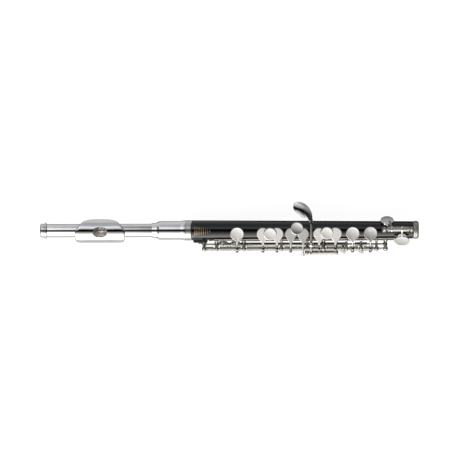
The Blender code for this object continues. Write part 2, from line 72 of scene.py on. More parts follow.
def spot(x, y=0.0, z=0.0):
    return ORIGIN + Vector((x, y, z)) * MM


def at(x=0.0, y=0.0, z=0.0):
    """Matrix that moves a piece modelled about its own origin to a place."""
    return Matrix.Translation(spot(x, y, z))


def box_mm(node):
    """A node's box in millimetres from the crown's end on the tube's axis."""
    low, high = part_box(node)
    return (Vector(low) - ORIGIN) / MM, (Vector(high) - ORIGIN) / MM


def middle_x(node):
    low, high = box_mm(node)
    return (low.x + high.x) / 2.0


def span(node):
    """Where a node starts and ends along the tube, and how high it reaches above the axis."""
    low, high = box_mm(node)
    return low.x, high.x, high.z


def joint_line(name):
    """A hinge's axis as (y, z) in millimetres."""
    place = (Vector(JOINTS[name]["pos_m"]) - ORIGIN) / MM
    return place.y, place.z


def rest_turn(name):
    """Matrix that takes a key modelled closed to its place at rest, standing open."""
    joint = JOINTS[name]
    place = Vector(joint["pos_m"])
    angle = radians(joint["range_deg"][1])
    turn = Matrix.Rotation(-angle, 4, Vector(joint["axis"]))
    return Matrix.Translation(place) @ turn @ Matrix.Translation(-place)


def direction(angle):
    """Unit vector across the tube, at an angle from +Z towards -Y."""
    turn = radians(angle)
    return Vector((0.0, -sin(turn), cos(turn)))


def turns(count):
    """Angles that divide a full turn evenly."""
    return [2.0 * pi * j / count for j in range(count)]


# The tube, measured on the frame
HEAD_START, HEAD_TUBE_END, HEAD_R = span("head_tube")
SOCKET_START, SOCKET_END, SOCKET_END_R = span("head_socket")
RING_START, RING_END, RING_R = span("body_ring")
FOOT_START, LENGTH, FOOT_R = span("foot_ring")
CORK_START, CORK_END, CORK_R = span("tenon_cork")
TENON_START, BODY_END = span("body_tube")[:2]
CROWN_BEAD_R = span("crown_cap")[2]
BODY_START = RING_END + 0.3

HEAD_BORE_R = 5.35
SOCKET_R = 8.0
SOCKET_BORE_R = 7.2
TENON_R = 6.3
BODY_R = (8.6, 7.35)  # at the shoulder and at the foot
BORE_R = (5.35, 4.25)  # at the tenon and at the foot
BLOW_HOLE_X = middle_x("lip_plate")
BLOW_HOLE = (11.0, 8.9)  # its length along the tube and its width
SEAT_RISE = 0.6
PAD_LIFT = 0.3
PAD_PEEP = 0.4  # the part of a pad that stands out below its cup
CUP_HEIGHT = 1.7
LID = 0.95  # thickness of a cup's lid
TOUCH_R = 5.5

MAIN = joint_line("a_press")
TRILL = joint_line("d_trill_press")
SIDE = joint_line("g_sharp_press")
THUMB = joint_line("thumb_b_press")
FOOT = joint_line("e_flat_press")
TUBE_R, TUBE_BORE_R = 1.9, 1.15
TRILL_R = 1.65
TRILL_CORE_R = 0.84  # the inner shaft that runs inside the trill tube
THUMB_TUBE_R = 1.6
BALL_R = 2.2

# Main-rod keys: name, cup radius, tube's start and end
MAIN_KEYS = [
    ("c_sharp", 5.7, 152.6, 170.6),
    ("b_flat", 5.3, 175.6, 192.0),
    ("a", 5.3, 192.3, 202.6),
    ("g_upper", 4.8, 207.6, 218.9),
    ("g_lower", 4.9, 219.2, 228.5),
    ("f_sharp", 5.0, 228.8, 238.3),
    ("f", 5.3, 243.3, 257.7),
    ("e", 5.7, 262.7, 270.2),
    ("d", 5.7, 275.2, 283.3),
]
TOUCHES = {"a": (195.4, 0.2), "g_upper": (218.2, 5.0), "f": (243.5, 0.8)}
# Every hole: angle round the body and cup radius, then with its place along the tube
HOLE_SORTS = {"thumb_b": (165.0, 5.4), "g_sharp": (172.0, 5.4), "e_flat": (-64.0, 5.6),
              "d_sharp_trill": (82.0, 3.9), "d_trill": (82.0, 3.9)}
HOLE_SORTS.update({name: (0.0, radius) for name, radius, start, end in MAIN_KEYS})
HOLES = {name: (middle_x(name + "_pad"), angle, radius)
         for name, (angle, radius) in HOLE_SORTS.items()}


def body_radius(x):
    share = (x - BODY_START) / (BODY_END - BODY_START)
    return BODY_R[0] + (BODY_R[1] - BODY_R[0]) * share


def cup_base(x):
    return body_radius(x) + SEAT_RISE + PAD_LIFT + PAD_PEEP


def cup_top(x):
    return cup_base(x) + CUP_HEIGHT


# ---------------- mesh tools

SHARP_ANGLE = radians(38.0)  # edges sharper than this stay creased
WELD = 0.000002


def make_object(name, verts, faces):
    """A smooth-shaded mesh object from points in the frame's metres."""
    mesh = bpy.data.meshes.new(name)
    mesh.from_pydata([tuple(v) for v in verts], [], faces)
    shape = bmesh.new()
    shape.from_mesh(mesh)
    bmesh.ops.remove_doubles(shape, verts=shape.verts, dist=WELD)
    bmesh.ops.recalc_face_normals(shape, faces=shape.faces)
    shape.to_mesh(mesh)
    shape.free()
    mesh.shade_smooth()
    mesh.set_sharp_from_angle(angle=SHARP_ANGLE)
    item = bpy.data.objects.new(name, mesh)
    bpy.context.scene.collection.objects.link(item)
    return item


def skin(name, rings, loop=False):
    """Skin rings of equal counts; open stacks are closed at both ends by a fan."""
    count = len(rings[0])
    verts = [point for ring in rings for point in ring]
    faces = []
    for i in range(len(rings) if loop else len(rings) - 1):
        a, b = i * count, ((i + 1) % len(rings)) * count
        for j in range(count):
            k = (j + 1) % count
            faces.append((a + j, a + k, b + k, b + j))
    if not loop:
        for start, ring in ((0, rings[0]), ((len(rings) - 1) * count, rings[-1])):
            verts.append(sum((Vector(p) for p in ring), Vector()) / count)
            for j in range(count):
                faces.append((start + j, start + (j + 1) % count, len(verts) - 1))
    return make_object(name, verts, faces)


def fillet(points, radius, closed=True, steps=4):
    """Round the corners of a flat outline or profile with short arcs."""
    result = []
    count = len(points)
    for i, here in enumerate(points):
        back, ahead = (Vector((there[0] - here[0], there[1] - here[1]))
                       for there in (points[i - 1], points[(i + 1) % count]))
        if not closed and i in (0, count - 1) or min(back.length, ahead.length) < 1e-6:
            result.append(here)
            continue
        reach = min(radius, back.length * 0.45, ahead.length * 0.45)
        first = Vector(here) + back.normalized() * reach
        last = Vector(here) + ahead.normalized() * reach
        for step in range(steps + 1):
            t = step / steps
            place = first * (1 - t) ** 2 + Vector(here) * 2 * t * (1 - t) + last * t ** 2
            result.append((place.x, place.y))
    return result


def along_x(line=(0.0, 0.0)):
    """Frame whose Z axis is the rod axis at (y, z), starting at the crown's end."""
    return at(0.0, *line) @ Matrix.Rotation(radians(90.0), 4, "Y")


def facing(x, way):
    """Frame whose Z axis leaves the tube's axis at x, along way."""
    return at(x) @ way.to_track_quat("Z", "Y").to_matrix().to_4x4()


def across(x, angle):
    return facing(x, direction(angle))


def tilted(y, z, degrees):
    """Matrix for a piece modelled about its own middle and turned about X."""
    return at(0.0, y, z) @ Matrix.Rotation(radians(degrees), 4, "X")


def lathe(name, profile, segments=64, loop=False, base=None):
    """Turn (distance, radius) points round the local Z axis of base, in millimetres."""
    base = base or along_x()
    rings = []
    for distance, radius in profile:
        wide = max(radius, 0.001)
        rings.append([base @ (Vector((wide * cos(turn), wide * sin(turn), distance)) * MM)
                      for turn in turns(segments)])
    return skin(name, rings, loop)


def rod(start, end, radius):
    """Profile of a plain rod."""
    return [(start, 0.0), (start, radius), (end, radius), (end, 0.0)]


def smooth_path(stations, steps=5):
    """Catmull-Rom through rows of numbers."""
    rows = [stations[0]] + list(stations) + [stations[-1]]
    result = []
    for i in range(1, len(rows) - 2):
        for step in range(steps):
            t = step / steps
            row = []
            for a, b, c, d in zip(rows[i - 1], rows[i], rows[i + 1], rows[i + 2]):
                row.append(0.5 * (2 * b + (c - a) * t + (2 * a - 5 * b + 4 * c - d) * t ** 2
                                  + (3 * b - a - 3 * c + d) * t ** 3))
            result.append(row)
    result.append(list(stations[-1]))
    return result


END_TURNS = (0.0, 0.3, 0.6, 1.0, 1.35)  # radians round a bar's rounded end
END_REACH = 0.8


def sweep(name, stations, side=(1.0, 0.0, 0.0), count=20, steps=5, rounded=True):
    """A bar through (x, y, z, half width, half height) stations, its width along side."""
    rows = smooth_path(stations, steps)
    points = [Vector(row[:3]) for row in rows]
    rings = []
    for i, row in enumerate(rows):
        tangent = (points[min(i + 1, len(points) - 1)] - points[max(i - 1, 0)]).normalized()
        level = (Vector(side) - tangent * tangent.dot(Vector(side))).normalized()
        up = tangent.cross(level)
        scales = [(0.0, 1.0)]
        if rounded and i == 0:
            scales = [(-sin(u) * END_REACH, cos(u)) for u in reversed(END_TURNS)]
        if rounded and i == len(rows) - 1:
            scales = [(sin(u) * END_REACH, cos(u)) for u in END_TURNS]
        for reach, scale in scales:
            wide, high = row[3] * scale, row[4] * scale
            centre = points[i] + tangent * reach * min(row[3], row[4])
            rings.append([spot(*(centre + level * wide * cos(turn) + up * high * sin(turn)))
                          for turn in turns(count)])
    return skin(name, rings)


def at_x(x, *rows):
    """Stations that all lie at one place along the tube."""
    return [(x, *row) for row in rows]


def inset(outline, amount):
    """Move a flat outline inwards along its corners' normals."""
    count = len(outline)
    area = sum(outline[i][0] * outline[(i + 1) % count][1] - outline[(i + 1) % count][0] * outline[i][1]
               for i in range(count))
    sign = 1.0 if area > 0 else -1.0
    result = []
    for i in range(count):
        ahead = Vector(outline[(i + 1) % count]) - Vector(outline[i - 1])
        normal = Vector((-ahead.y, ahead.x)).normalized() * sign
        result.append((outline[i][0] + normal.x * amount, outline[i][1] + normal.y * amount))
    return result


EDGE_BELOW = (0.0, 22.5, 45.0, 67.5, 90.0)  # degrees round a plate's lower and upper edge
EDGE_ABOVE = (90.0, 70.0, 50.0, 30.0, 12.0, 0.0)
FACE_SHARES = (0.97, 0.93, 0.89, 0.84, 0.78, 0.7, 0.6, 0.48, 0.34, 0.18)


def plate(name, outline, low, high, edge=0.25, base=None, middle=None, sink=None):
    """A plate with rounded edges over a flat outline.

    sink(share) says how far its top lies below high at a share of the way to the edge.
    """
    base = base or at()
    half = min(edge, (high - low) / 2.0)
    rings = []

    def level(points, height):
        rings.append([base @ (Vector((x, y, height)) * MM) for x, y in points])

    for start, rise, angles in ((low, half, EDGE_BELOW), (high, -half, EDGE_ABOVE)):
        for turn in map(radians, angles):
            level(inset(outline, edge * (1.0 - sin(turn))), start + rise * (1.0 - cos(turn)))
    if sink:
        top = inset(outline, edge)
        centre = middle or (sum(p[0] for p in outline) / len(outline),
                            sum(p[1] for p in outline) / len(outline))
        for share in FACE_SHARES:
            level([(centre[0] + (x - centre[0]) * share, centre[1] + (y - centre[1]) * share)
                   for x, y in top], high - sink(share))
    return skin(name, rings)


RIM_AT, RIM_WIDE = 0.97, 0.10  # shares of a face's radius


def bowl(depth, rim=0.0):
    """A shallow hollow inside a narrow raised rim; a negative depth gives a dome."""
    def sink(share):
        step = min(1.0, max(0.0, (RIM_AT - share) / RIM_WIDE))
        return rim * step * step * (3.0 - 2.0 * step) + depth * (1.0 - share * share)
    return sink


def oval(middle, size, count=48, power=2.0):
    """A closed oval; powers above 2 make it squarer."""
    def half(part):
        return copysign(abs(part) ** (2.0 / power), part) / 2.0

    return [(middle[0] + size[0] * half(cos(turn)), middle[1] + size[1] * half(sin(turn)))
            for turn in turns(count)]


def carve(item, others, operation="DIFFERENCE"):
    """Apply exact Booleans and remove the tools."""
    for other in others:
        step = item.modifiers.new("cut", "BOOLEAN")
        step.operation = operation
        step.object = other
    bpy.context.view_layer.update()
    done = bpy.data.meshes.new_from_object(item.evaluated_get(bpy.context.evaluated_depsgraph_get()))
    item.modifiers.clear()
    item.data = done
    for other in others:
        bpy.data.objects.remove(other, do_unlink=True)
    done.shade_smooth()
    done.set_sharp_from_angle(angle=SHARP_ANGLE)
    return item


def dress(item, material, body, nodes=(), turn=None):
    """Give a piece its material, rest place and body, and let it stand for CAD nodes."""
    if turn:
        item.data.transform(turn)
    item.data.materials.clear()
    item.data.materials.append(material)
    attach(item, body)
    if nodes:
        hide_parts(*nodes)


def dresser(body, turn=None):
    """A shorter dress() for pieces that share a body and a turn to their rest place."""
    def put(item, material, *nodes):
        dress(item, material, body, nodes, turn)
    return put


# ---------------- nodes and materials

def node(owner, kind, inputs=None, **settings):
    """A node in a material's or world's tree; each input gets a value or another node's output."""
    item = owner.node_tree.nodes.new("ShaderNode" + kind)
    for key, value in settings.items():
        setattr(item, key, value)
    for key, value in (inputs or {}).items():
        if isinstance(value, bpy.types.NodeSocket):
            owner.node_tree.links.new(value, item.inputs[key])
        else:
            item.inputs[key].default_value = value
    return item


def wire(owner, output, item, key):
    owner.node_tree.links.new(output, item.inputs[key])


def maths(owner, operation, *values):
    return node(owner, "Math", dict(enumerate(values)), operation=operation).outputs[0]


def spread(owner, value, start, end, low=0.0, high=1.0, **settings):
    """Map a value between start and end to low..high."""
    return node(owner, "MapRange", {"Value": value, "From Min": start, "From Max": end,
                                    "To Min": low, "To Max": high}, **settings).outputs["Result"]


def show(owner, output, seen, light):
    """Let the camera see one shader and everything else be lit by the other."""
    camera_ray = node(owner, "LightPath").outputs["Is Camera Ray"]
    mix = node(owner, "MixShader", {"Fac": camera_ray, 1: light.outputs[0], 2: seen.outputs[0]})
    wire(owner, mix.outputs[0], owner.node_tree.nodes[output], "Surface")


def node_material(name, colour, metallic, roughness):
    material = bpy.data.materials.new(name)
    material.use_nodes = True
    shader = material.node_tree.nodes["Principled BSDF"]
    shader.inputs["Base Color"].default_value = (*colour, 1.0)
    shader.inputs["Metallic"].default_value = metallic
    shader.inputs["Roughness"].default_value = roughness
    return material, shader


def noise(material, scale, detail=3.0, stretch=(1.0, 1.0, 1.0)):
    """Noise in object space; scale is per metre."""
    place = node(material, "TexCoord").outputs["Object"]
    shape = node(material, "Mapping", {"Vector": place, "Scale": stretch}).outputs["Vector"]
    return node(material, "TexNoise", {"Vector": shape, "Scale": scale, "Detail": detail}).outputs["Fac"]


NOISE_LOW, NOISE_HIGH = 0.3, 0.7  # where noise reaches the ends of a range


def paint(material, shader, factor, dark, light):
    """Colour that runs from dark to light with a noise."""
    ramp = node(material, "ValToRGB", {"Fac": factor})
    for element, position, colour in zip(ramp.color_ramp.elements, (NOISE_LOW, NOISE_HIGH), (dark, light)):
        element.position = position
        element.color = (*colour, 1.0)
    wire(material, ramp.outputs["Color"], shader, "Base Color")


def polish(material, shader, factor, low, high):
    """Roughness that runs from low to high with a noise."""
    wire(material, spread(material, factor, NOISE_LOW, NOISE_HIGH, low, high), shader, "Roughness")


def bump(material, shader, factor, height):
    normal = node(material, "Bump", {"Distance": height, "Height": factor}).outputs["Normal"]
    wire(material, normal, shader, "Normal")


BRUSHED = (0.15, 1.0, 1.0)  # stretches a polish along the tube


def metal(name, dark, light, rough, grain=0.000002, grain_scale=2500.0, brushed=False):
    """Plated metal: soft colour clouds, uneven polish and a fine grain."""
    material, shader = node_material(name, light, 1.0, rough[0])
    paint(material, shader, noise(material, 160.0, 4.0), dark, light)
    polish(material, shader, noise(material, 900.0, 5.0, BRUSHED if brushed else (1.0, 1.0, 1.0)), *rough)
    if grain:
        bump(material, shader, noise(material, grain_scale, 2.0), grain)
    return material


def soft_stuff(name, colour, rough, clouds, dark, light, grain, depth, inner=0.0):
    """Cork or pad skin; clouds and grain are a noise's scale and detail, inner its soft light."""
    material, shader = node_material(name, colour, 0.0, rough)
    paint(material, shader, noise(material, *clouds), dark, light)
    bump(material, shader, noise(material, *grain), depth)
    shader.inputs["Subsurface Weight"].default_value = inner
    return material


def black_resin():
    """Polished black body with a faint grain along the tube."""
    material, shader = node_material("black_body", (0.002, 0.002, 0.003), 0.0, 0.07)
    paint(material, shader, noise(material, 420.0, 6.0, (0.06, 1.0, 1.0)),
          (0.0012, 0.0012, 0.0018), (0.0045, 0.0038, 0.0036))
    polish(material, shader, noise(material, 700.0, 4.0, (0.1, 1.0, 1.0)), 0.05, 0.10)
    bump(material, shader, noise(material, 1400.0, 3.0, (0.08, 1.0, 1.0)), 0.0000025)
    shader.inputs["Coat Weight"].default_value = 0.2
    shader.inputs["Coat Roughness"].default_value = 0.04
    return material


SILVER = metal("head_silver", (0.80, 0.79, 0.78), (0.88, 0.87, 0.86), (0.06, 0.10), 0.0000012)
SATIN = metal("touch_satin", (0.61, 0.60, 0.585), (0.66, 0.65, 0.635), (0.14, 0.19), grain_scale=2400.0)
KEY_SILVER = metal("key_silver", (0.62, 0.61, 0.59), (0.74, 0.73, 0.71), (0.08, 0.15), grain_scale=3000.0)
# Painted shade: a silver kept far darker than the head's, for arms, stems, levers and the lip plate's dark
# edge
SHADE_PAINTED_ARM_SILVER = metal("shade_painted_arm_silver", (0.24, 0.235, 0.225), (0.34, 0.335, 0.32), (0.12, 0.20),
                   grain_scale=3000.0)
# Painted shade: a silver darkened well below the head's, for the hinge tubes, the trill shaft and the foot
# ring
SHADE_PAINTED_ROD_SILVER = metal("shade_painted_rod_silver", (0.38, 0.36, 0.32), (0.48, 0.46, 0.42), (0.46, 0.56), brushed=True)
# Painted shade: the posts' silver is darkened like the rods', standing in for the mechanism's shade
SHADE_PAINTED_POST_SILVER = metal("post_silver", (0.34, 0.32, 0.28), (0.46, 0.43, 0.38), (0.36, 0.46))
RIB_SILVER = metal("rib_silver", (0.38, 0.365, 0.33), (0.48, 0.46, 0.42), (0.34, 0.44))
RING_SILVER = metal("ring_silver", (0.54, 0.53, 0.50), (0.64, 0.63, 0.60), (0.24, 0.32))
# Painted light: brighter and warmer than the head's silver, laid on the bore only below the blow hole
BORE_PAINTED_LIGHT_METAL = metal("bore_painted_light_metal", (0.92, 0.86, 0.80), (0.97, 0.92, 0.87), (0.30, 0.40))
STEEL = metal("rod_steel", (0.42, 0.42, 0.43), (0.58, 0.58, 0.59), (0.18, 0.28), 0.000003, 3000.0, True)
SPRING_BLUE = metal("spring_steel", (0.10, 0.12, 0.20), (0.22, 0.24, 0.32), (0.18, 0.30), 0.0)
GOLD = metal("gold_inlay", (0.46, 0.33, 0.20), (0.64, 0.49, 0.31), (0.24, 0.34), 0.0)
BLACK = black_resin()
CORK = soft_stuff("cork", (0.6, 0.42, 0.25), 0.85, (1500.0, 8.0),
                  (0.30, 0.18, 0.09), (0.68, 0.50, 0.31), (2500.0, 5.0), 0.00008)
PAD = soft_stuff("pad_skin", (0.8, 0.72, 0.58), 0.5, (700.0, 5.0),
                 (0.66, 0.55, 0.40), (0.86, 0.79, 0.66), (1800.0, 4.0), 0.00003, 0.1)


# ---------------- head joint

# Painted light: a bright, warm skin round the bore below the blow hole, where the bore lies in shade:
# place from the hole, and from the bore
BORE_PAINTED_LIGHT_SPAN = ((-14.0, 0.02), (-14.0, -0.03), (14.0, -0.03), (14.0, 0.02))
SOCKET_FLARE = [(0.0, 6.1), (0.7, 6.3), (2.6, 6.45), (3.9, 6.7), (4.9, 7.1), (5.7, 7.6), (6.1, SOCKET_R)]
SOCKET_BEAD = [(-4.3, SOCKET_R), (-3.5, SOCKET_R + 0.1), (-1.7, SOCKET_END_R - 0.3),
               (-1.5, SOCKET_END_R - 0.02), (0.0, SOCKET_END_R - 0.02)]  # from the socket's end
CROWN = [(0.55, 0.0), (0.5, 2.2), (0.25, 3.6), (0.0, 4.2), (0.1, 4.8), (0.45, 5.35), (1.0, 5.8),
         (1.7, 6.0), (3.6, 5.95), (3.9, 5.7), (4.1, 6.3), (4.4, CROWN_BEAD_R - 0.1),
         (4.9, CROWN_BEAD_R), (5.3, CROWN_BEAD_R - 0.2), (5.6, 6.2), (5.7, 5.0), (12.0, 5.0),
         (12.0, 1.4), (1.7, 1.4), (1.7, 0.0)]


def with_blow_hole(item):
    return carve(item, [plate("hole", oval((BLOW_HOLE_X, 0.0), BLOW_HOLE), 0.0, 12.0, 0.05)])


def build_head():
    put = dresser("head_joint")
    profile = fillet([(HEAD_START, HEAD_R), (HEAD_START, HEAD_BORE_R), (HEAD_TUBE_END, HEAD_BORE_R),
                      (HEAD_TUBE_END, HEAD_R)], 0.15, steps=2)
    put(with_blow_hole(lathe("head_tube_fine", profile, 96, True)), SILVER, "head_tube")
    # painted light on the bore below the blow hole
    profile = [(BLOW_HOLE_X + x, HEAD_BORE_R + lift) for x, lift in BORE_PAINTED_LIGHT_SPAN]
    put(with_blow_hole(lathe("head_bore_painted_light", profile, 96, True)), BORE_PAINTED_LIGHT_METAL)

    inner = HEAD_TUBE_END + 0.4
    profile = [(SOCKET_START, HEAD_R + 0.05)]
    profile += [(SOCKET_START + x, radius) for x, radius in SOCKET_FLARE]
    profile += [(SOCKET_END + x, radius) for x, radius in SOCKET_BEAD]
    profile += [(SOCKET_END, SOCKET_BORE_R), (inner, SOCKET_BORE_R), (inner, HEAD_R + 0.05)]
    put(lathe("head_socket_fine", fillet(profile, 0.25, steps=3), 96, True), SILVER, "head_socket")
    dress(lathe("crown_cap_fine", fillet(CROWN, 0.2, False, 3), 80), SILVER, "crown",
          ["crown_cap"])
    build_lip_plate()

    for name, material, slot in (("stopper_cork", CORK, "cork"), ("stopper_screw", STEEL, "rod_steel")):
        item = frame["nodes"][name]
        item.data.materials.clear()
        item.data.materials.append(material)


LIP_R = span("lip_plate")[2] + 0.6  # radius of the plate's curve
LIP_DROP = 0.6  # its centre lies below the tube's axis
LIP_THICK = 0.95
# The lip plate's half length at places round it, from its far edge to its player's edge
LIP_HALVES = [(-15.1, 2.0), (-14.6, 6.0), (-13.5, 9.6), (-11.0, 14.1), (-7.0, 17.5), (-2.5, 20.4),
              (-0.4, 21.1), (2.0, 21.1), (6.0, 20.9), (10.0, 20.2), (13.0, 18.8), (14.5, 16.8),
              (15.0, 14.0)]
# The plate's rings: share of the way from hole to edge and lift, then distance back and lift
LIP_TOP = ((0.0, -0.75), (0.0, -0.3), (0.012, -0.1), (0.035, -0.02), (0.08, 0.0), (0.25, 0.0),
           (0.45, 0.0), (0.65, 0.0), (0.8, 0.0))
LIP_EDGE = ((1.3, 0.0), (0.95, -0.04), (0.7, -0.14), (0.45, -0.30), (0.22, -0.50), (0.06, -0.72),
            (0.0, -0.84), (0.12, -0.92), (0.6, -LIP_THICK))
LIP_UNDER = (0.8, 0.5, 0.2, 0.02)
# The lip plate's painted dark edge: its radius, and how far in and down it sits from the outline
LIP_DARK_EDGE_R, LIP_DARK_EDGE_IN, LIP_DARK_EDGE_DOWN = 0.32, 0.28, 0.55
RISER_WAIST, RISER_FLARE = (1.8, 1.4), (3.6, 1.9)  # added to the blow hole's size


def lip_surface(x, arc, lift):
    """A point on the lip plate: arc is measured round it, towards the player."""
    radius = LIP_R + lift
    turn = arc / LIP_R
    return spot(x, -radius * sin(turn), radius * cos(turn) - LIP_DROP)


def lip_outline():
    right = [(half, arc) for arc, half in smooth_path(LIP_HALVES, 6)]
    left = [(-half, arc) for half, arc in reversed(right)]
    return right + left


def meet(outline, way):
    """Where a ray from the middle along way crosses a closed outline."""
    for (ax, ay), (bx, by) in zip(outline, outline[1:] + outline[:1]):
        run = Vector((bx - ax, by - ay))
        slope = way.x * run.y - way.y * run.x
        if abs(slope) < 1e-9:
            continue
        reach = (ax * run.y - ay * run.x) / slope
        share = (ax * way.y - ay * way.x) / slope
        if reach > 0.0 and -1e-6 <= share <= 1.0 + 1e-6:
            return way * reach
    return way


def build_lip_plate():
    put = dresser("head_joint")
    middle = Vector((BLOW_HOLE_X, 0.0))
    outline = lip_outline()
    hole, outer = [], []
    for turn in turns(168):
        place = Vector((BLOW_HOLE[0] / 2.0 * cos(turn), BLOW_HOLE[1] / 2.0 * sin(turn)))
        hole.append(middle + place)
        outer.append(middle + meet(outline, place))

    def ring(places, lift):
        return [lip_surface(place.x, place.y, lift) for place in places]

    def between(share, lift):
        """A ring at a share of the way from the hole to the edge."""
        return ring([inner.lerp(edge, share) for inner, edge in zip(hole, outer)], lift)

    rings = [between(share, lift) for share, lift in LIP_TOP]
    rings += [ring([edge - (edge - inner).normalized() * back for inner, edge in zip(hole, outer)], lift)
              for back, lift in LIP_EDGE]
    rings += [between(share, -LIP_THICK) for share in LIP_UNDER]
    put(skin("lip_plate_fine", rings, True), SILVER, "lip_plate")

    # Painted shade: a thin dark piece round the plate's outline stands in for the dark reflection at its
    # rim
    rings = []
    for turn in turns(8):
        out = LIP_DARK_EDGE_R * cos(turn) - LIP_DARK_EDGE_IN
        rings.append(ring([edge + (edge - middle).normalized() * out for edge in outer],
                          LIP_DARK_EDGE_R * sin(turn) - LIP_DARK_EDGE_DOWN))
    put(skin("lip_plate_painted_dark_edge", rings, True), SHADE_PAINTED_ARM_SILVER)

    def wall(added, radius, drop):
        """The riser's wall where it meets a cylinder of this radius."""
        size = (BLOW_HOLE[0] + added[0], BLOW_HOLE[1] + added[1])
        return [spot(x, y, sqrt(radius ** 2 - y * y) - drop)
                for x, y in oval((BLOW_HOLE_X, 0.0), size, 72)]

    top, bottom = (LIP_R - LIP_THICK + 0.15, LIP_DROP), (HEAD_R - 0.2, 0.0)
    waist = [(a + b) / 2.0 for a, b in zip(wall(RISER_WAIST, *top), wall(RISER_WAIST, *bottom))]
    rings = [wall((0.0, 0.0), *bottom), wall((0.0, 0.0), *top), wall(RISER_FLARE, *top), waist,
             wall(RISER_FLARE, *bottom)]
    put(skin("riser_fine", rings, True), SILVER, "riser")


# ---------------- body

BLOCK = (130.2, 142.4, 5.0)  # the post block's start, end and how far it goes inwards
BLOCK_HALF = 3.4
BODY_SLICES = 60


def build_body():
    put = dresser("body")
    profile = [(TENON_START, BORE_R[0]), (TENON_START, TENON_R - 0.3), (TENON_START + 0.3, TENON_R),
               (BODY_START, TENON_R), (BODY_START, BODY_R[0] - 0.15), (BODY_START + 0.2, BODY_R[0])]
    for i in range(1, BODY_SLICES):
        x = BODY_START + (BODY_END - BODY_START) * i / BODY_SLICES
        profile.append((x, body_radius(x)))
    profile += [(BODY_END - 0.15, BODY_R[1]), (BODY_END, BODY_R[1] - 0.15), (BODY_END, BORE_R[1])]
    body = lathe("body_tube_fine", profile, 96, True)

    start, end, inner = BLOCK
    outer = -box_mm("body_tube")[0].y
    outline = fillet([(start, outer), (end, outer), (end, inner), (start, inner)], 1.2)
    solids = [plate("block", outline, -BLOCK_HALF, BLOCK_HALF, 0.5,
                    at() @ Matrix.Diagonal((1.0, -1.0, 1.0, 1.0)))]
    for x, angle, radius in HOLES.values():
        top, rim = body_radius(x) + SEAT_RISE, radius - 1.5
        solids.append(lathe("rim", [(top - 2.0, 0.0), (top - 2.0, rim), (top - 0.15, rim),
                                    (top, rim - 0.2), (top, 0.0)], 40, base=across(x, angle)))
    carve(body, solids, "UNION")
    cutters = [lathe("hole", rod(3.0, 14.0, radius * 0.5), 32, base=across(x, angle))
               for x, angle, radius in HOLES.values()]
    cutters.append(lathe("bore", [(TENON_START - 1.0, 0.0), (TENON_START - 1.0, BORE_R[0]),
                                  (BODY_END + 1.0, BORE_R[1]), (BODY_END + 1.0, 0.0)], 64))
    dress(carve(body, cutters), BLACK, "body", ["body_tube"])

    profile = [(CORK_START, TENON_R + 0.05), (CORK_START, CORK_R - 0.3), (CORK_START + 0.5, CORK_R),
               (CORK_END - 0.4, CORK_R), (CORK_END, CORK_R - 0.2), (CORK_END, TENON_R + 0.05)]
    dress(lathe("tenon_cork_fine", profile, 64, True), CORK, "body", ["tenon_cork"])

    start, inner = RING_START - 0.2, TENON_R + 0.2
    profile = [(start, inner), (start, RING_R - 0.2), (RING_START + 0.4, RING_R),
               (RING_START + 1.2, RING_R), (RING_START + 1.35, RING_R - 0.12),
               (RING_START + 1.5, RING_R - 0.02), (RING_END - 0.2, RING_R - 0.02),
               (RING_END, RING_R - 0.15), (RING_END, inner)]
    put(lathe("body_ring_fine", fillet(profile, 0.1, steps=2), 96, True), RING_SILVER, "body_ring")

    inner = BORE_R[1] + 0.05
    profile = [(FOOT_START, inner), (FOOT_START, FOOT_R - 0.1), (FOOT_START + 0.25, FOOT_R),
               (LENGTH - 1.5, FOOT_R), (LENGTH - 0.3, FOOT_R - 0.6), (LENGTH, FOOT_R - 1.4),
               (LENGTH, BORE_R[1] + 0.5), (LENGTH - 0.5, inner)]
    put(lathe("foot_ring_fine", fillet(profile, 0.35), 96, True), SHADE_PAINTED_ROD_SILVER, "foot_ring")
    build_inlay()


INLAYS, INLAY_START, INLAY_STEP = 8, 131.6, 1.8
INLAY_HIGH, INLAY_LOSS = 4.4, 0.42  # half height of the first, and how much each next one loses
INLAY_SHIFT, INLAY_RINGS = 0.9, 12
INLAY_EDGE, INLAY_WIDE = 0.05, 0.45
INLAY_SINK, INLAY_LIFT = -0.15, 0.05


def build_inlay():
    """A plain gold ornament on the body: a row of slim upright lozenges that get shorter."""
    for number in range(INLAYS):
        x, high = INLAY_START + INLAY_STEP * number, INLAY_HIGH - INLAY_LOSS * number
        radius = body_radius(x)
        rings = []
        for i in range(INLAY_RINGS + 1):
            reach = high * (2.0 * i / INLAY_RINGS - 1.0)
            half = INLAY_EDGE + INLAY_WIDE * (1.0 - abs(reach) / high)
            turn = (reach - INLAY_SHIFT) / radius
            rings.append([spot(x + side, -(radius + lift) * sin(turn),
                               (radius + lift) * cos(turn))
                          for side, lift in ((-half, INLAY_SINK), (half, INLAY_SINK),
                                             (half, INLAY_LIFT), (-half, INLAY_LIFT))])
        dress(skin(f"inlay_{number}", rings), GOLD, "body")


# ---------------- posts, rib, steels

POST_HOLE_R = 1.15
POST_SHAPE = ((0.0, 1.75), (0.10, 1.65), (0.2, 1.15), (0.45, 0.85), (0.8, 0.95), (1.0, 1.15))
MAIN_POSTS = (150.0, 173.1, 205.1, 240.8, 260.2, 272.7, 285.8, 293.5)
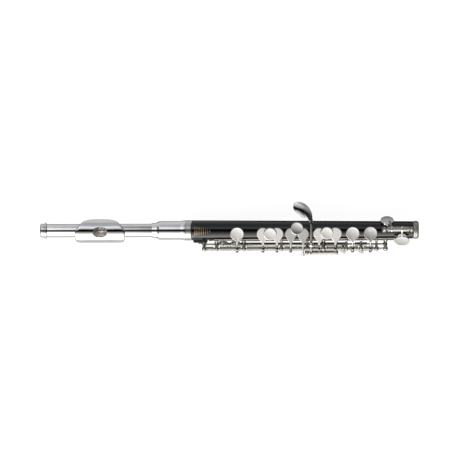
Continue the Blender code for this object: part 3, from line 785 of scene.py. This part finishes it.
# Place along the tube, ball radius and hole radius; the middle two let the trill tube through
TRILL_POSTS = ((150.0, BALL_R, POST_HOLE_R), (173.1, 2.65, 1.95), (240.8, 2.65, 1.95),
               (293.5, BALL_R, POST_HOLE_R))
SIDE_POSTS = (226.8, 251.8)
SMALL_BALL_R, SMALL_HOLE_R = 2.0, 1.1
UPPER_POST_X = 139.5
END_POSTS = (("thumb_post", (173.5, 201.5), THUMB), ("foot_post", (292.6, 315.6), FOOT))
FLANGE = ((-0.3, 0.0), (-0.3, 2.35), (0.5, 2.35), (0.85, 2.0), (0.95, 0.0))  # lift off the body, radius


def ball_profile(x, radius, hole=0.0, steps=12):
    """A ball round x with a hole along its axis."""
    start = asin(hole / radius)
    profile = []
    for i in range(steps + 1):
        turn = start + (pi - 2.0 * start) * i / steps
        profile.append((x - radius * cos(turn), radius * sin(turn)))
    return profile


def post(name, x, foot, line, radius, hole):
    """A ball-headed post: flared foot, waisted stem and a ball with a hole for the rod."""
    put = dresser("body")
    start, end = Vector((x, *foot)), Vector((x, *line))
    way = (end - start).normalized()
    reach = (end - start).length - radius * 0.85
    stations = [(*(start + way * reach * share), width, width) for share, width in POST_SHAPE]
    put(sweep(name + "_stem", stations, count=24, steps=3, rounded=False), SHADE_PAINTED_POST_SILVER)
    put(lathe(name + "_ball", ball_profile(x, radius, hole), 32, True, along_x(line)), SHADE_PAINTED_POST_SILVER)


RIB_START, RIB_END, RIB_ANGLE = 143.5, 300.7, 51.0  # the angle is its middle line's, round the body
RIB_WIDE, RIB_LOW, RIB_MIDDLE, RIB_HIGH = 2.35, 0.4, 0.85, 1.4  # width, and heights above the body
RIB_SLANT = 4.5
RIB_WIDER, RIB_WIDER_FROM, RIB_WIDER_RUN = 1.9, 172.0, 5.0  # its player's edge beyond the trill cups
RIB_STEPS = 24
FOOT_ANGLE, FOOT_LIFT = 57.0, 0.95  # where the posts stand on the rib


def build_rib():
    """The long rib that carries the posts, bent to the body, with a slanted upper end."""
    half = RIB_WIDE / 2.0
    section = fillet([(-half, RIB_LOW), (half, RIB_LOW), (half, RIB_HIGH), (-half, RIB_HIGH)], 0.3)
    rings = []
    for i in range(RIB_STEPS + 1):
        ring = []
        for reach, lift in section:
            x = RIB_START + (RIB_END - RIB_START) * i / RIB_STEPS
            if i == 0:
                x += RIB_SLANT * (half - reach) / RIB_WIDE
            if reach > 0.0:
                reach += RIB_WIDER * min(1.0, max(0.0, (x - RIB_WIDER_FROM) / RIB_WIDER_RUN))
            radius = body_radius(x) + lift
            turn = radians(RIB_ANGLE) + reach / (body_radius(x) + RIB_MIDDLE)
            ring.append(spot(x, -radius * sin(turn), radius * cos(turn)))
        rings.append(ring)
    dress(skin("key_rib_fine", rings), RIB_SILVER, "body", ["key_rib"])


def rib_foot(x):
    foot = direction(FOOT_ANGLE) * (body_radius(x) + FOOT_LIFT)
    return foot.y, foot.z


def build_posts():
    put = dresser("body")
    build_rib()
    for number, x in enumerate(MAIN_POSTS, 1):
        post(f"main_post_{number}", x, rib_foot(x), MAIN, BALL_R, POST_HOLE_R)
    for number, (x, radius, hole) in enumerate(TRILL_POSTS, 1):
        post(f"trill_post_{number}", x, (-(body_radius(x) + 0.6), 4.3), TRILL, radius, hole)
    for number, x in enumerate(SIDE_POSTS, 1):
        post(f"side_post_{number}", x, rib_foot(x), SIDE, SMALL_BALL_R, SMALL_HOLE_R)

    x = UPPER_POST_X
    outline = fillet([(x - 5.0, -2.4), (x + 2.0, -2.4), (x + 2.0, 2.9), (x - 5.0, 2.9)], 1.2)
    put(plate("upper_post_base", outline, 10.45, 11.5, base=tilted(0.0, 0.0, 90.0)), SHADE_PAINTED_POST_SILVER,
        "upper_post")
    post("upper_main_post", x, (-11.0, 1.6), MAIN, BALL_R, SMALL_HOLE_R)
    post("upper_trill_post", x, (-11.0, -1.2), TRILL, BALL_R, SMALL_HOLE_R)
    key_tube("upper_sleeve", MAIN, x + 1.9, 147.5, TUBE_R, "body")

    for name, places, line in END_POSTS:
        way = Vector((0.0, *line)).normalized()
        for number, x in enumerate(places, 1):
            foot = way * (body_radius(x) + 0.5)
            profile = [(body_radius(x) + lift, radius) for lift, radius in FLANGE]
            put(lathe(f"{name}_{number}_flange", profile, 32, base=facing(x, way)), SHADE_PAINTED_POST_SILVER,
                f"{name}_{number}")
            post(f"{name}_{number}", x, (foot.y, foot.z), line, SMALL_BALL_R, SMALL_HOLE_R)


STEEL_R, STEEL_TIP_R = 0.9, 0.7


def build_steels():
    """The steels that the key tubes turn on, each with a slotted end."""
    for name, line in (("main_steel", MAIN), ("side_steel", SIDE), ("thumb_steel", THUMB),
                       ("foot_steel", FOOT)):
        start, end, top = span(name)
        profile = [(start, 0.0), (start, STEEL_TIP_R), (start + 0.2, STEEL_R), (end - 0.2, STEEL_R),
                   (end, STEEL_TIP_R), (end, 0.0)]
        slot = plate("slot", oval((end + 0.1, 0.0), (0.8, 3.0), 16, 6.0), -0.14, 0.14, 0.02,
                     at(0.0, *line))
        item = carve(lathe(name + "_fine", profile, 24, base=along_x(line)), [slot])
        dress(item, STEEL, "body", [name])


# Each needle spring's post and hook, along the tube
SPRING_RUNS = ((173.1, 163.0), (173.1, 184.5), (205.1, 198.0), (205.1, 212.0), (240.8, 233.0),
               (240.8, 248.0), (260.2, 254.5), (272.7, 266.0), (285.8, 279.0))


def build_springs():
    """Needle springs: fine blued wires from the posts to hooks under the key tubes."""
    y, z = MAIN[0] + 2.3, MAIN[1] - 2.2
    for number, (start, end) in enumerate(SPRING_RUNS, 1):
        stations = [(start, y + 0.6, z - 0.2, 0.2, 0.2), ((start + end) / 2.0, y, z, 0.17, 0.17),
                    (end, y - 0.3, z + 0.35, 0.12, 0.12)]
        dress(sweep(f"needle_spring_{number}", stations, (0.0, 0.0, 1.0), 10, 4), SPRING_BLUE,
              "body")


# ---------------- keys

NECK = 0.85  # half width of a cup's neck
# Cups with a round face: angle at which the neck leaves, its reach, and how the face is sunk
ROUND_CUPS = {"c_sharp": (42.0, 7.9, bowl(0.17, 0.03)), "e": (38.0, 7.6, bowl(0.22, 0.02)),
              "d": (38.0, 7.6, bowl(0.26, 0.02))}
LONG_CUP = (65.0, 10.0, bowl(0.0))
FLAT_TURN = {"g_upper": -3.5, "g_lower": -3.5, "e": -1.5, "d": -3.5}  # degrees: flatter lids
SKIRT_WALL = 0.4
# Arms beyond their cup's neck: place across, drop from the cup's top and half height;
# then rows of place across, height and half sizes
ARM_FALL = {"g_lower": (-12.4, 1.5, 0.62), "g_upper": (-12.2, 1.3, 0.62)}
ARM_FALL_PLAIN = (-11.5, 2.3, 0.6)
ARM_ENDS = {"g_lower": ((-15.2, 8.2, 0.72, 0.6), (-18.0, 7.4, 1.0, 0.6), (-20.6, 6.6, 1.4, 0.7)),
            "g_upper": ((-14.9, 8.1, 0.72, 0.6), (-16.6, 7.0, 1.05, 0.62), (-17.7, 5.9, 1.4, 0.7))}
ARM_END_PLAIN = ((-12.9, 7.6, 0.72, 0.62), (-15.0, 8.0, 0.9, 0.62), (-16.6, 7.1, 1.1, 0.62),
                 (-17.7, 5.9, 1.4, 0.7))
# Touches: height above their cup, then hollow and lean of the upper G's, and of the others
TOUCH_HIGH = 0.65
G_TOUCH, PLAIN_TOUCH = (bowl(0.33), -4.8), (bowl(0.16), 0.6)
PILLAR_R = 1.6


def cup_outline(x, radius, leave, reach):
    """A cup that draws in to its arm on the player's side.

    The round edge is left at an angle from that side; the neck is reached at -reach.
    """
    leave = radians(leave)
    side = []
    steps = 40
    for i in range(steps + 1):
        turn = pi - (pi - leave) * i / steps
        side.append((radius * sin(turn), -radius * cos(turn)))
    start, end = Vector(side[-1]), Vector((NECK, -reach))
    length = (end - start).length
    lead = start + Vector((-cos(leave), -sin(leave))) * length * 0.4
    trail = end + Vector((0.0, 1.0)) * length * 0.35
    for i in range(1, 13):
        t = i / 12.0
        place = (start * (1 - t) ** 3 + lead * 3 * t * (1 - t) ** 2
                 + trail * 3 * t * t * (1 - t) + end * t ** 3)
        side.append((place.x, place.y))
    return [(x + px, py) for px, py in side] + [(x - px, py) for px, py in reversed(side[1:])]


def cup_skirt(name, x, angle, radius):
    """The cup's wall below its lid, open towards the pad."""
    base, top = cup_base(x), cup_top(x) - 0.35
    inner = radius - 0.35 - SKIRT_WALL
    profile = [(top, 0.0), (top, radius - 0.35), (base + 0.3, radius - 0.2), (base, radius - 0.35),
               (base, inner), (top - 0.6, inner), (top - 0.6, 0.0)]
    return lathe(name, profile, 56, base=across(x, angle))


def round_lid(put, name, material, *nodes, crown=(0.55, 0.06, 0.08)):
    """A round cup's lid and skirt; crown is a share of its radius, and two heights."""
    x, angle, radius = HOLES[name]
    top = cup_top(x)
    share, rise, tip = crown
    profile = fillet([(top - LID, 0.0), (top - LID, radius), (top, radius),
                      (top + rise, radius * share), (top + tip, 0.0)], 0.3, False, 3)
    put(lathe(name + "_cup", profile, 64, base=across(x, angle)), material, *nodes)
    put(cup_skirt(name + "_skirt", x, angle, radius), KEY_SILVER)


def key_pad(name, body, turn=None):
    x, angle, radius = HOLES[name]
    low = cup_base(x) - PAD_PEEP
    profile = [(low + 1.15, 0.0), (low + 1.15, radius - 1.2), (low + 0.9, radius - 0.95),
               (low + 0.35, radius - 0.9), (low + 0.05, radius - 1.2), (low, radius - 1.6),
               (low + 0.06, 0.0)]
    dress(lathe(name + "_pad_fine", profile, 48, base=across(x, angle)), PAD, body,
          [name + "_pad"], turn)


def key_tube(name, line, start, end, radius, body, turn=None):
    """A hinge tube with its bore and slightly raised ends."""
    slim, wide = radius - 0.05, radius + 0.08
    tip = [(0.0, TUBE_BORE_R), (0.0, slim), (0.15, wide), (0.9, wide), (1.05, slim)]
    profile = [(start + x, r) for x, r in tip] + [(end - x, r) for x, r in reversed(tip)]
    dress(lathe(name + "_tube", profile, 40, True, along_x(line)), SHADE_PAINTED_ROD_SILVER, body,
          (), turn)


def arm_stations(name, x, top, reach):
    """A cup's arm: from its neck down and over the hinge tube."""
    y, fall, high = ARM_FALL.get(name, ARM_FALL_PLAIN)
    return at_x(x, (-reach + 1.8, top - 0.55, 0.95, 0.40), (-reach - 0.1, top - 0.65, 0.80, 0.5),
                (y, top - fall, 0.72, high), *ARM_ENDS.get(name, ARM_END_PLAIN))


def build_touch(put, name, top):
    """A dished finger touch on a short pillar of its own cup, leaning slightly."""
    x, y = TOUCHES[name]
    hollow, lean = G_TOUCH if name == "g_upper" else PLAIN_TOUCH
    put(plate(name + "_touch", oval((x, 0.0), (2 * TOUCH_R, 2 * TOUCH_R), 72), 0.0, 1.0, 0.5,
              tilted(y, top + TOUCH_HIGH, lean), sink=hollow), SATIN)
    put(lathe(name + "_pillar", rod(top - 0.3, top + TOUCH_HIGH + 0.1, PILLAR_R), 32,
              base=at((x + HOLES[name][0]) / 2.0, y / 2.0)), KEY_SILVER)


def build_main_keys():
    for name, radius, start, end in MAIN_KEYS:
        body, turn = name + "_key", rest_turn(name + "_press")
        put = dresser(body, turn)
        x = HOLES[name][0]
        top = cup_top(x)
        leave, reach, hollow = ROUND_CUPS.get(name, LONG_CUP)
        put(plate(name + "_cup", cup_outline(x, radius, leave, reach), -LID, 0.0, 0.3,
                  tilted(0.0, top, FLAT_TURN.get(name, 0.0)), (x, 0.0), hollow), SATIN, body)
        put(cup_skirt(name + "_skirt", x, 0.0, radius), KEY_SILVER)
        put(sweep(name + "_arm", arm_stations(name, x, top, reach)), SHADE_PAINTED_ARM_SILVER)
        key_tube(name, MAIN, start, end, TUBE_R, body, turn)
        if name in TOUCHES:
            build_touch(put, name, top)
        key_pad(name, body, turn)


# The spoon's outline, from its stem round the player's foot side to the tip and back
SPOON = [(231.6, 9.0), (231.4, 11.8), (230.6, 17.2), (227.8, 22.1), (223.7, 25.1), (219.3, 26.2),
         (216.5, 25.4), (215.1, 23.0), (215.2, 20.6), (216.4, 18.5), (219.2, 15.9), (222.7, 13.2),
         (227.0, 11.5), (228.8, 9.8), (229.0, 9.0)]
SPOON_Y, SPOON_Z = 9.0, 13.0  # where it bends off its stem
SPOON_TILT, SPOON_STRETCH = -13.5, 0.972
SPOON_MIDDLE = (223.2, 10.5)
STEM_X = 230.3
KNOB_R = 2.3


def build_g_sharp():
    put = dresser("g_sharp_key")
    x, angle = HOLES["g_sharp"][:2]
    y, z = SIDE
    stations = at_x(STEM_X, (y + 0.4, z + 1.5, 1.0, 0.8), (-18.6, 6.6, 0.95, 0.8),
                    (-15.8, 9.9, 0.95, 0.8), (-12.0, 11.0, 1.05, 0.75), (-6.0, 11.6, 1.1, 0.7),
                    (2.0, 12.4, 1.15, 0.7), (8.6, 12.6, 1.3, 0.6))
    stations.append((STEM_X - 0.1, 11.6, 11.7, 1.4, 0.45))
    put(sweep("g_sharp_stem", stations, count=32, steps=6), SHADE_PAINTED_ARM_SILVER, "g_sharp_key")
    outline = [(row[0], (row[1] - SPOON_Y) / SPOON_STRETCH) for row in smooth_path(SPOON, 6)]
    put(plate("g_sharp_spoon", outline, -1.1, 0.0, 0.45, tilted(SPOON_Y, SPOON_Z, SPOON_TILT),
              SPOON_MIDDLE, bowl(-1.0)), KEY_SILVER)
    tail = direction(angle) * (cup_top(x) + 0.25)
    stations = [(STEM_X + 1.0, y, z - 1.4, 1.0, 0.9), (STEM_X, -18.4, -5.0, 0.9, 0.9),
                (227.5, -13.6, -11.1, 0.9, 0.9), (x + 2.0, -5.5, -11.8, 1.1, 0.6),
                (x, tail.y, tail.z, 1.3, 0.4)]
    put(sweep("g_sharp_under_arm", stations), KEY_SILVER)
    put(lathe("g_sharp_knob", ball_profile(0.0, KNOB_R, steps=14), 32, base=at(STEM_X, -10.4, 12.3)),
        SILVER)
    round_lid(put, "g_sharp", KEY_SILVER, crown=(0.5, 0.1, 0.12))
    key_tube("g_sharp", SIDE, 229.1, 249.5, TUBE_R - 0.1, "g_sharp_key")
    key_pad("g_sharp", "g_sharp_key")


def build_thumb():
    """The two thumb keys under the tube."""
    y, z = THUMB
    body, turn = "thumb_b_key", rest_turn("thumb_b_press")
    put = dresser(body, turn)
    x, angle = HOLES["thumb_b"][:2]
    face = direction(angle) * (cup_top(x) + 0.1)
    round_lid(put, "thumb_b", SATIN, body)
    put(sweep("thumb_b_arm", at_x(x, (y + 0.5, z, 1.2, 0.7), (-7.4, -11.95, 1.0, 0.55),
                                  (face.y - 2.0, face.z - 0.25, 1.2, 0.4),
                                  (face.y + 0.5, face.z, 1.5, 0.25))), KEY_SILVER)
    key_tube("thumb_b", THUMB, 175.9, 185.0, THUMB_TUBE_R, body, turn)
    key_pad("thumb_b", body, turn)

    body, turn = "thumb_b_flat_lever", rest_turn("thumb_b_flat_press")
    put = dresser(body, turn)
    x = middle_x(body) - 0.6
    put(plate("thumb_b_flat_touch", oval((x, -2.6), (9.0, 9.4), 64, 2.6), 10.5, 11.6, 0.35,
              at() @ Matrix.Diagonal((1.0, 1.0, -1.0, 1.0)), sink=bowl(0.25)), SATIN, body)
    put(sweep("thumb_b_flat_arm", at_x(x, (y + 0.5, z + 0.2, 1.1, 0.7), (-7.5, -11.2, 0.9, 0.5),
                                       (-4.0, -10.8, 1.2, 0.35))), KEY_SILVER)
    key_tube("thumb_b_flat", THUMB, 185.3, 199.1, THUMB_TUBE_R, body, turn)


E_FLAT_TOUCH_X = 307.4
E_FLAT_COLLARS = ((298.0, 299.3), (306.6, 308.2))
COLLAR_BORE_R, COLLAR_R = 1.6, 2.6


def build_e_flat():
    """The foot key: its cup on the far side and its touch over the tube."""
    body = "e_flat_key"
    put = dresser(body)
    x, angle = HOLES["e_flat"][:2]
    y, z = FOOT
    face = direction(angle) * (cup_top(x) + 0.12)
    round_lid(put, "e_flat", SATIN, body)
    stations = [(298.6, y + 0.6, z + 1.2, 1.0, 0.5), (298.3, 5.6, 11.2, 0.8, 0.45),
                (297.6, 7.9, 8.6, 0.8, 0.4), (x + 1.6, face.y - 1.0, face.z + 0.4, 1.0, 0.25)]
    put(sweep("e_flat_arm", stations), SHADE_PAINTED_ARM_SILVER)
    touch_x = E_FLAT_TOUCH_X
    stations = at_x(touch_x, (y - 0.4, z + 1.9, 0.95, 0.5), (y - 3.0, z + 0.8, 0.85, 0.55),
                    (-2.4, 10.9, 0.9, 0.5), (-5.0, 10.0, 1.4, 0.4))
    put(sweep("e_flat_touch_arm", stations), SHADE_PAINTED_ARM_SILVER)
    tilt = tilted(-7.7, 9.15, 7.0)
    put(plate("e_flat_touch_seat", oval((touch_x, 3.6), (7.6, 5.4), 56, 2.2), -0.35, 0.2, 0.15, tilt),
        KEY_SILVER)
    put(plate("e_flat_touch", oval((touch_x - 0.2, 0.0), (12.9, 8.3), 72, 2.3), 0.0, 1.1, 0.4, tilt,
              sink=bowl(0.12)), SATIN)
    for number, (start, end) in enumerate(E_FLAT_COLLARS, 1):
        collar = fillet([(start, COLLAR_BORE_R), (start, COLLAR_R), (end, COLLAR_R),
                         (end, COLLAR_BORE_R)], 0.2, steps=3)
        put(lathe(f"e_flat_collar_{number}", collar, 40, True, along_x(FOOT)), KEY_SILVER)
    key_tube("e_flat", FOOT, 295.0, 313.2, 2.27, body)
    key_pad("e_flat", body)


TRILL_TOUCHES = (("d_trill", 257.6), ("d_sharp_trill", 272.9))
SPRING_HOOKS = ((150.3, "d_sharp_trill_key"), (160.5, "d_trill_key"))
TRILL_TUBE = (161.2, 261.5)
# Profile of the inner trill shaft below its upper end, with the collars that carry arm and lever
SHAFT = [(152.5, TRILL_CORE_R), (152.6, TRILL_R), (160.9, TRILL_R), (161.0, TRILL_CORE_R),
         (267.9, TRILL_CORE_R), (268.0, TRILL_R), (278.0, TRILL_R), (278.1, TRILL_CORE_R),
         (295.0, TRILL_CORE_R), (295.2, 0.6), (295.2, 0.0)]


def build_trills():
    y, z = TRILL
    for name, touch_x in TRILL_TOUCHES:
        body = name + "_key"
        put = dresser(body)
        x, angle = HOLES[name][:2]
        face = direction(angle) * (cup_top(x) + 0.1)
        round_lid(put, name, KEY_SILVER, body)
        put(sweep(name + "_arm", at_x(x, (y, z + 1.2, 1.1, 0.8), (-12.2, -0.8, 0.9, 0.7),
                                      (face.y, face.z, 1.2, 0.4))), SHADE_PAINTED_ARM_SILVER)
        put(sweep(name + "_lever", at_x(touch_x, (y - 1.0, z + 0.6, 1.0, 0.8), (-16.2, -2.7, 0.9, 0.7),
                                        (-17.8, -1.3, 1.2, 0.5))), SHADE_PAINTED_ARM_SILVER)
        put(plate(name + "_touch", oval((touch_x, 0.0), (4.4, 5.2), 48, 2.4), -1.1, 0.0, 0.35,
                  tilted(-18.5, 0.0, 6.0)), SATIN)
        key_pad(name, body)
    for number, (x, body) in enumerate(SPRING_HOOKS, 1):
        hook = [(x - 1.3, y - 1.2, z + 1.0, 0.35, 0.35), (x, -16.6, -3.0, 0.4, 0.4),
                (x + 1.3, y - 1.2, z + 1.0, 0.35, 0.35)]
        dress(sweep(f"spring_hook_{number}", hook, (0.0, 0.0, 1.0), 14), KEY_SILVER, body)
    key_tube("d_trill", TRILL, *TRILL_TUBE, TRILL_R, "d_trill_key")
    start = span("d_sharp_trill_key")[0]
    shaft = [(start, 0.0), (start, 0.6), (start + 0.3, TRILL_CORE_R)] + SHAFT
    dress(lathe("d_sharp_trill_shaft", shaft, 32, base=along_x(TRILL)), SHADE_PAINTED_ROD_SILVER,
          "d_sharp_trill_key")


# ---------------- stage, light, camera

FLOOR_HALF = 3.0  # metres
FLOOR_GLOW = 0.90
# The tube's painted shade on the table, in metres: narrow at the head, wide at the keys. Its shift and
# near edge change over the first stretch along the tube, its far edge over the second.
SHADE_START, SHADE_RUN = (-0.03, -0.01), (-0.03, 0.13)
SHADE_SHIFT, SHADE_NEAR, SHADE_FAR = (0.0, 0.006), (0.005, 0.020), (0.018, 0.060)
SHADE_DIM, SHADE_BRIGHT = 0.02, 0.62


def build_floor():
    """A pale light table: white from above, and dim in a painted shade of the tube that only reflections
    see.
    """
    corners = ((-1, -1), (1, -1), (1, 1), (-1, 1))
    floor = make_object("floor", [Vector((x * FLOOR_HALF, y * FLOOR_HALF, 0.0)) for x, y in corners],
                        [(0, 1, 2, 3)])
    material, shader = node_material("pale_floor", (0.30, 0.30, 0.30), 0.0, 0.9)
    shader.inputs["Specular IOR Level"].default_value = 0.0
    place = node(material, "TexCoord").outputs["Object"]
    parts = node(material, "SeparateXYZ", {"Vector": place}).outputs

    def along(run, values):
        return spread(material, parts["X"], *run, *values)

    # Painted shade: the floor's glow is dimmed near the tube's line for every ray but the camera's
    moved = maths(material, "ADD", parts["Y"], along(SHADE_START, SHADE_SHIFT))
    glow = spread(material, maths(material, "ABSOLUTE", moved), along(SHADE_START, SHADE_NEAR),
                  along(SHADE_RUN, SHADE_FAR), SHADE_DIM, SHADE_BRIGHT,
                  interpolation_type="SMOOTHSTEP")
    shade = node(material, "Emission", {"Strength": glow})
    bright = node(material, "Emission", {"Strength": FLOOR_GLOW})
    plain = node(material, "AddShader", {0: shader.outputs[0], 1: bright.outputs[0]})
    show(material, "Material Output", plain, shade)
    floor.data.materials.append(material)


# Brightness of the studio round the tube, by angle from straight up towards the player
STUDIO = [(-180, 0.9), (-92, 0.6), (-88, 0.45), (-62, 0.42), (-50, 0.62), (-40, 1.0), (-32, 0.72),
          (-22, 0.30), (-19, 0.0), (-4, 0.0), (3, 0.12), (15, 0.62), (27, 1.2), (40, 2.2),
          (53, 3.0), (67, 4.2), (78, 3.0), (88, 1.4), (95, 0.9), (180, 0.9)]
STUDIO_PEAK = 4.5
COOL, WARM, COOL_BELOW = (0.95, 0.98, 1.05), (1.01, 0.995, 0.975), -20
FADE_START, FADE_END, FADE_LEFT = 0.45, 0.92, 0.04  # the light fades towards both ends of the tube
LEAN, LEAN_REACH = 0.5, 0.3  # and it grows towards the crown's side
BACKDROP = (0.98, 0.98, 0.98, 1.0)


def build_world():
    """Soft studio light round the tube; the camera sees a plain pale backdrop."""
    world = bpy.data.worlds.new("studio")
    bpy.context.scene.world = world
    world.use_nodes = True
    place = node(world, "TexCoord").outputs["Generated"]
    parts = node(world, "SeparateXYZ", {"Vector": place}).outputs
    angle = maths(world, "ARCTAN2", maths(world, "MULTIPLY", parts["Y"], -1.0), parts["Z"])
    ramp = node(world, "ValToRGB", {"Fac": spread(world, angle, -pi, pi)})
    elements = ramp.color_ramp.elements
    while len(elements) > 1:
        elements.remove(elements[-1])
    for i, (degrees, level) in enumerate(STUDIO):
        position = (degrees + 180.0) / 360.0
        element = elements[0] if i == 0 else elements.new(position)
        element.position = position
        tint = COOL if degrees < COOL_BELOW else WARM
        element.color = (*(level / STUDIO_PEAK * part for part in tint), 1.0)
    fade = spread(world, maths(world, "ABSOLUTE", parts["X"]), FADE_START, FADE_END, STUDIO_PEAK,
                  STUDIO_PEAK * FADE_LEFT, interpolation_type="SMOOTHSTEP")
    lean = spread(world, parts["X"], -LEAN_REACH, LEAN_REACH, 1.0 + LEAN, 1.0 - LEAN)
    light = world.node_tree.nodes["Background"]
    wire(world, ramp.outputs["Color"], light, "Color")
    wire(world, maths(world, "MULTIPLY", fade, lean), light, "Strength")
    show(world, "World Output", node(world, "Background", {"Color": BACKDROP}), light)


CAMERA_TILT = 10.5  # degrees from straight above, towards the far side
CAMERA_ROLL = 0.14
VIEW_WIDE = 389.3  # millimetres across the frame at the tube
LENS, SENSOR = 400.0, 36.0
AIM = (160.6, 1.1)  # middle of the frame: along the tube, and up in the picture


def build_camera():
    tilt, roll = radians(CAMERA_TILT), radians(CAMERA_ROLL)
    back = Vector((0.0, sin(tilt), cos(tilt)))
    up_plain = Vector((0.0, cos(tilt), -sin(tilt)))
    right_plain = Vector((1.0, 0.0, 0.0))
    up = up_plain * cos(roll) + right_plain * sin(roll)
    right = right_plain * cos(roll) - up_plain * sin(roll)
    place = spot(AIM[0]) + up_plain * AIM[1] * MM + back * (VIEW_WIDE * MM * LENS / SENSOR)
    data = bpy.data.cameras.new("camera")
    data.lens = LENS
    data.sensor_width = SENSOR
    camera = bpy.data.objects.new("camera", data)
    bpy.context.scene.collection.objects.link(camera)
    camera.matrix_world = Matrix.Translation(place) @ Matrix((right, up, back)).transposed().to_4x4()
    bpy.context.scene.camera = camera


build_camera()
build_floor()
build_world()
bpy.context.scene.view_settings.view_transform = "Standard"
build_head()
build_body()
build_posts()
build_steels()
build_springs()
build_main_keys()
build_g_sharp()
build_thumb()
build_e_flat()
build_trills()
